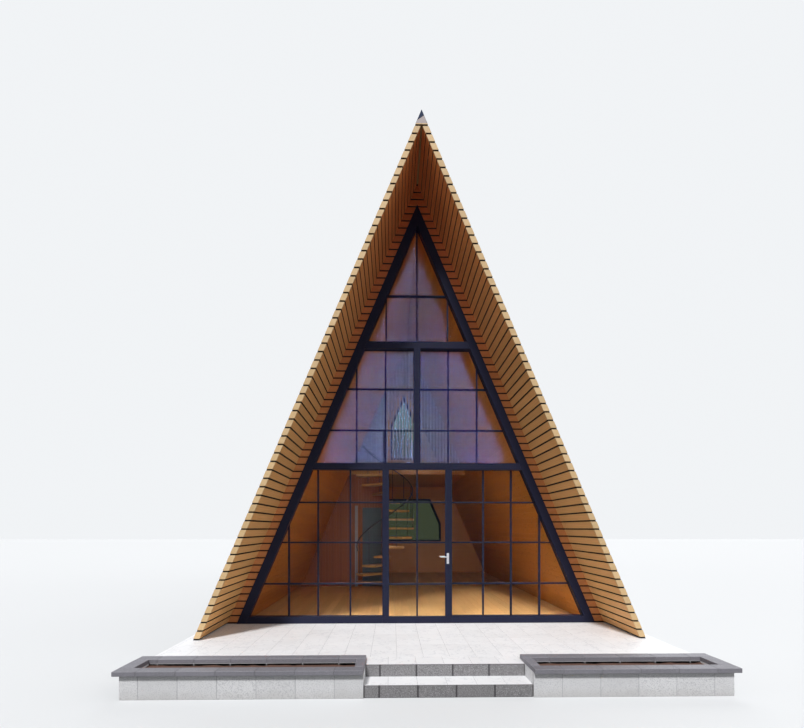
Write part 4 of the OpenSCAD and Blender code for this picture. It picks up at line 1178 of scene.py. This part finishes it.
whole_arris, cut_arris, least_half = 0.002, 0.0005, 0.001
boards = Joinery(61)
for z0, z1 in levels:
    cuts = sorted({z0, z1} | {z for z in window_marks if z0 < z < z1})
    tone = boards.chance.random()
    arris = whole_arris if len(cuts) == 2 else cut_arris
    for za, zb in zip(cuts, cuts[1:]):
        window = next((w for w in windows if window_half(w, (za + zb) / 2) > 0), None)
        for side in (-1, 1):
            corners = []
            for z in (za, zb):
                inner = 0.0
                if window:
                    inside = min(max(z, window["sill"] + hair), window["head"] - hair)
                    inner = max(least_half, window_half(window, inside))
                ends = (side * inner, side * half_w(deck_in, z))
                corners += [[x, y, z] for y in (board_back, wall_face) for x in ends]
            boards.block(corners, arris, 0, tone)
fit(boards.mesh("rear_wall_boards", soffit_larch), "cabin", "soffit_timber", "rear_wall")
dress(frame_coat, 0.002, "rear_window_frames")


# Loft. A floor of golden boards on a deck, an upright slat screen on its right and a grey boarded
# partition on its left, which stands on the floor and is cut to the lining.
dress(timber("loft_timber", (0.50, 0.22, 0.05), (0.38, 0.15, 0.03), 0.4, grain="XYZ"), 0.003, "loft_floor")
# The slats are a greyed, darker wood: painted shade.
dress(timber("slat_timber", (0.44, 0.34, 0.26), (0.34, 0.25, 0.18), 0.5, grain="ZXY"), 0.002, "loft_screen")


def painted(name, colour):
    """Painted boards: a cloudy colour, a little different on each board, with the strokes of the brush."""
    made, tree, shader = new_material(name, Roughness=0.6)
    grain = attribute(tree, "grain")
    lay_on(tree, shader, cloudy(tree, grain, colour, 6.0, 0.25, 0.15), lined(tree, grain, (8, 300, 300), 2.0),
           0.0004)
    return made


grey_paint = painted("partition_paint", (0.273, 0.278, 0.280))
loft_low, loft_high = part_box("loft_floor")
partition_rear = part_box("lower_partition")[1].y
free_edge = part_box("lower_partition")[1].x
inner_in = panel_in + fine_gap
board_joint, least_height, least_width, lowest_top, partition_arris = 0.0005, 0.03, 0.01, 0.002, 0.003


def upright_boards(stack, x0, x1, y0, y1, z0, z_top, pitch):
    """Upright boards from a floor to a ceiling or to the sloping lining, whichever is lower."""
    for xa, xb in spread(x0, x1, pitch, x1):
        edges = (xa + board_joint, xb - board_joint)
        tops = [min(z_top, meet_z(inner_in, x)) for x in edges]
        if max(tops) - z0 >= least_height and edges[1] - edges[0] >= least_width:
            corners = [[x, y, z0] for y in (y0, y1) for x in edges]
            corners += [[x, y, max(top, z0 + lowest_top)] for y in (y0, y1) for x, top in zip(edges, tops)]
            stack.block(corners, partition_arris, 2)


loft_pitch = 0.12
boards = Joinery(71)
upright_boards(boards, -half_w(inner_in, loft_high.z), free_edge, loft_low.y, partition_rear, loft_high.z,
               math.inf, loft_pitch)
fit(boards.mesh("loft_partition_boards", grey_paint), "cabin", "partition_paint", "loft_partition")


# Lower partition. Upright pine boards stand on the floor beside the stair, with a flush grey door panel
# in them and a narrow grey board left of it.
board_front, lower_pitch = 0.006, 0.07
boards = Joinery(72)
upright_boards(boards, -half_w(inner_in, ground_floor), free_edge, loft_low.y + board_front,
               partition_rear - board_front, ground_floor, loft_low.z, lower_pitch)
partition_pine = timber("partition_timber", (0.29, 0.078, 0.010), (0.22, 0.054, 0.007), 0.5, tone_depth=0.14,
                        arris_tone=0.0)
fit(boards.mesh("lower_partition_boards", partition_pine), "cabin", "lining_timber", "lower_partition")

door_left, door_right, door_foot, door_top = -1.155, -0.664, ground_floor + 0.008, 2.280
strip_left, strip_right, strip_top = -1.350, -1.276, door_top + 0.05
panel_arris, panel_tone = 0.002, 0.9
for name, left, right, foot, head, paint in (
        ("inner_door_panel", door_left, door_right, door_foot, door_top,
         painted("inner_door_paint", (0.060, 0.088, 0.102))),
        ("inner_door_strip", strip_left, strip_right, ground_floor, strip_top,
         painted("strip_paint", (0.31, 0.29, 0.30)))):
    panel = Joinery(name)
    panel.box((left, loft_low.y, foot), (right, loft_low.y + board_front, head), panel_arris, 2, panel_tone)
    fit(panel.mesh(name, paint), "cabin", "partition_paint", "lower_partition")


# Stair. Golden treads wind round a dark metal pole that stands on the floor. Slim rods on the outer ends of
# the treads carry a round handrail.
stair_coat = coated_metal("stair_metal", (0.035, 0.035, 0.045), 8.0, 0.5, Roughness=0.42, Metallic=0.2)
tread_wood = timber("tread_timber", (0.58, 0.31, 0.105), (0.45, 0.21, 0.065), 0.35, grain="XYZ", coat=0.25)
dress(stair_coat, 0, "stair_pole", "stair_balusters", "stair_handrail")
dress(tread_wood, 0.003, "stair_treads")
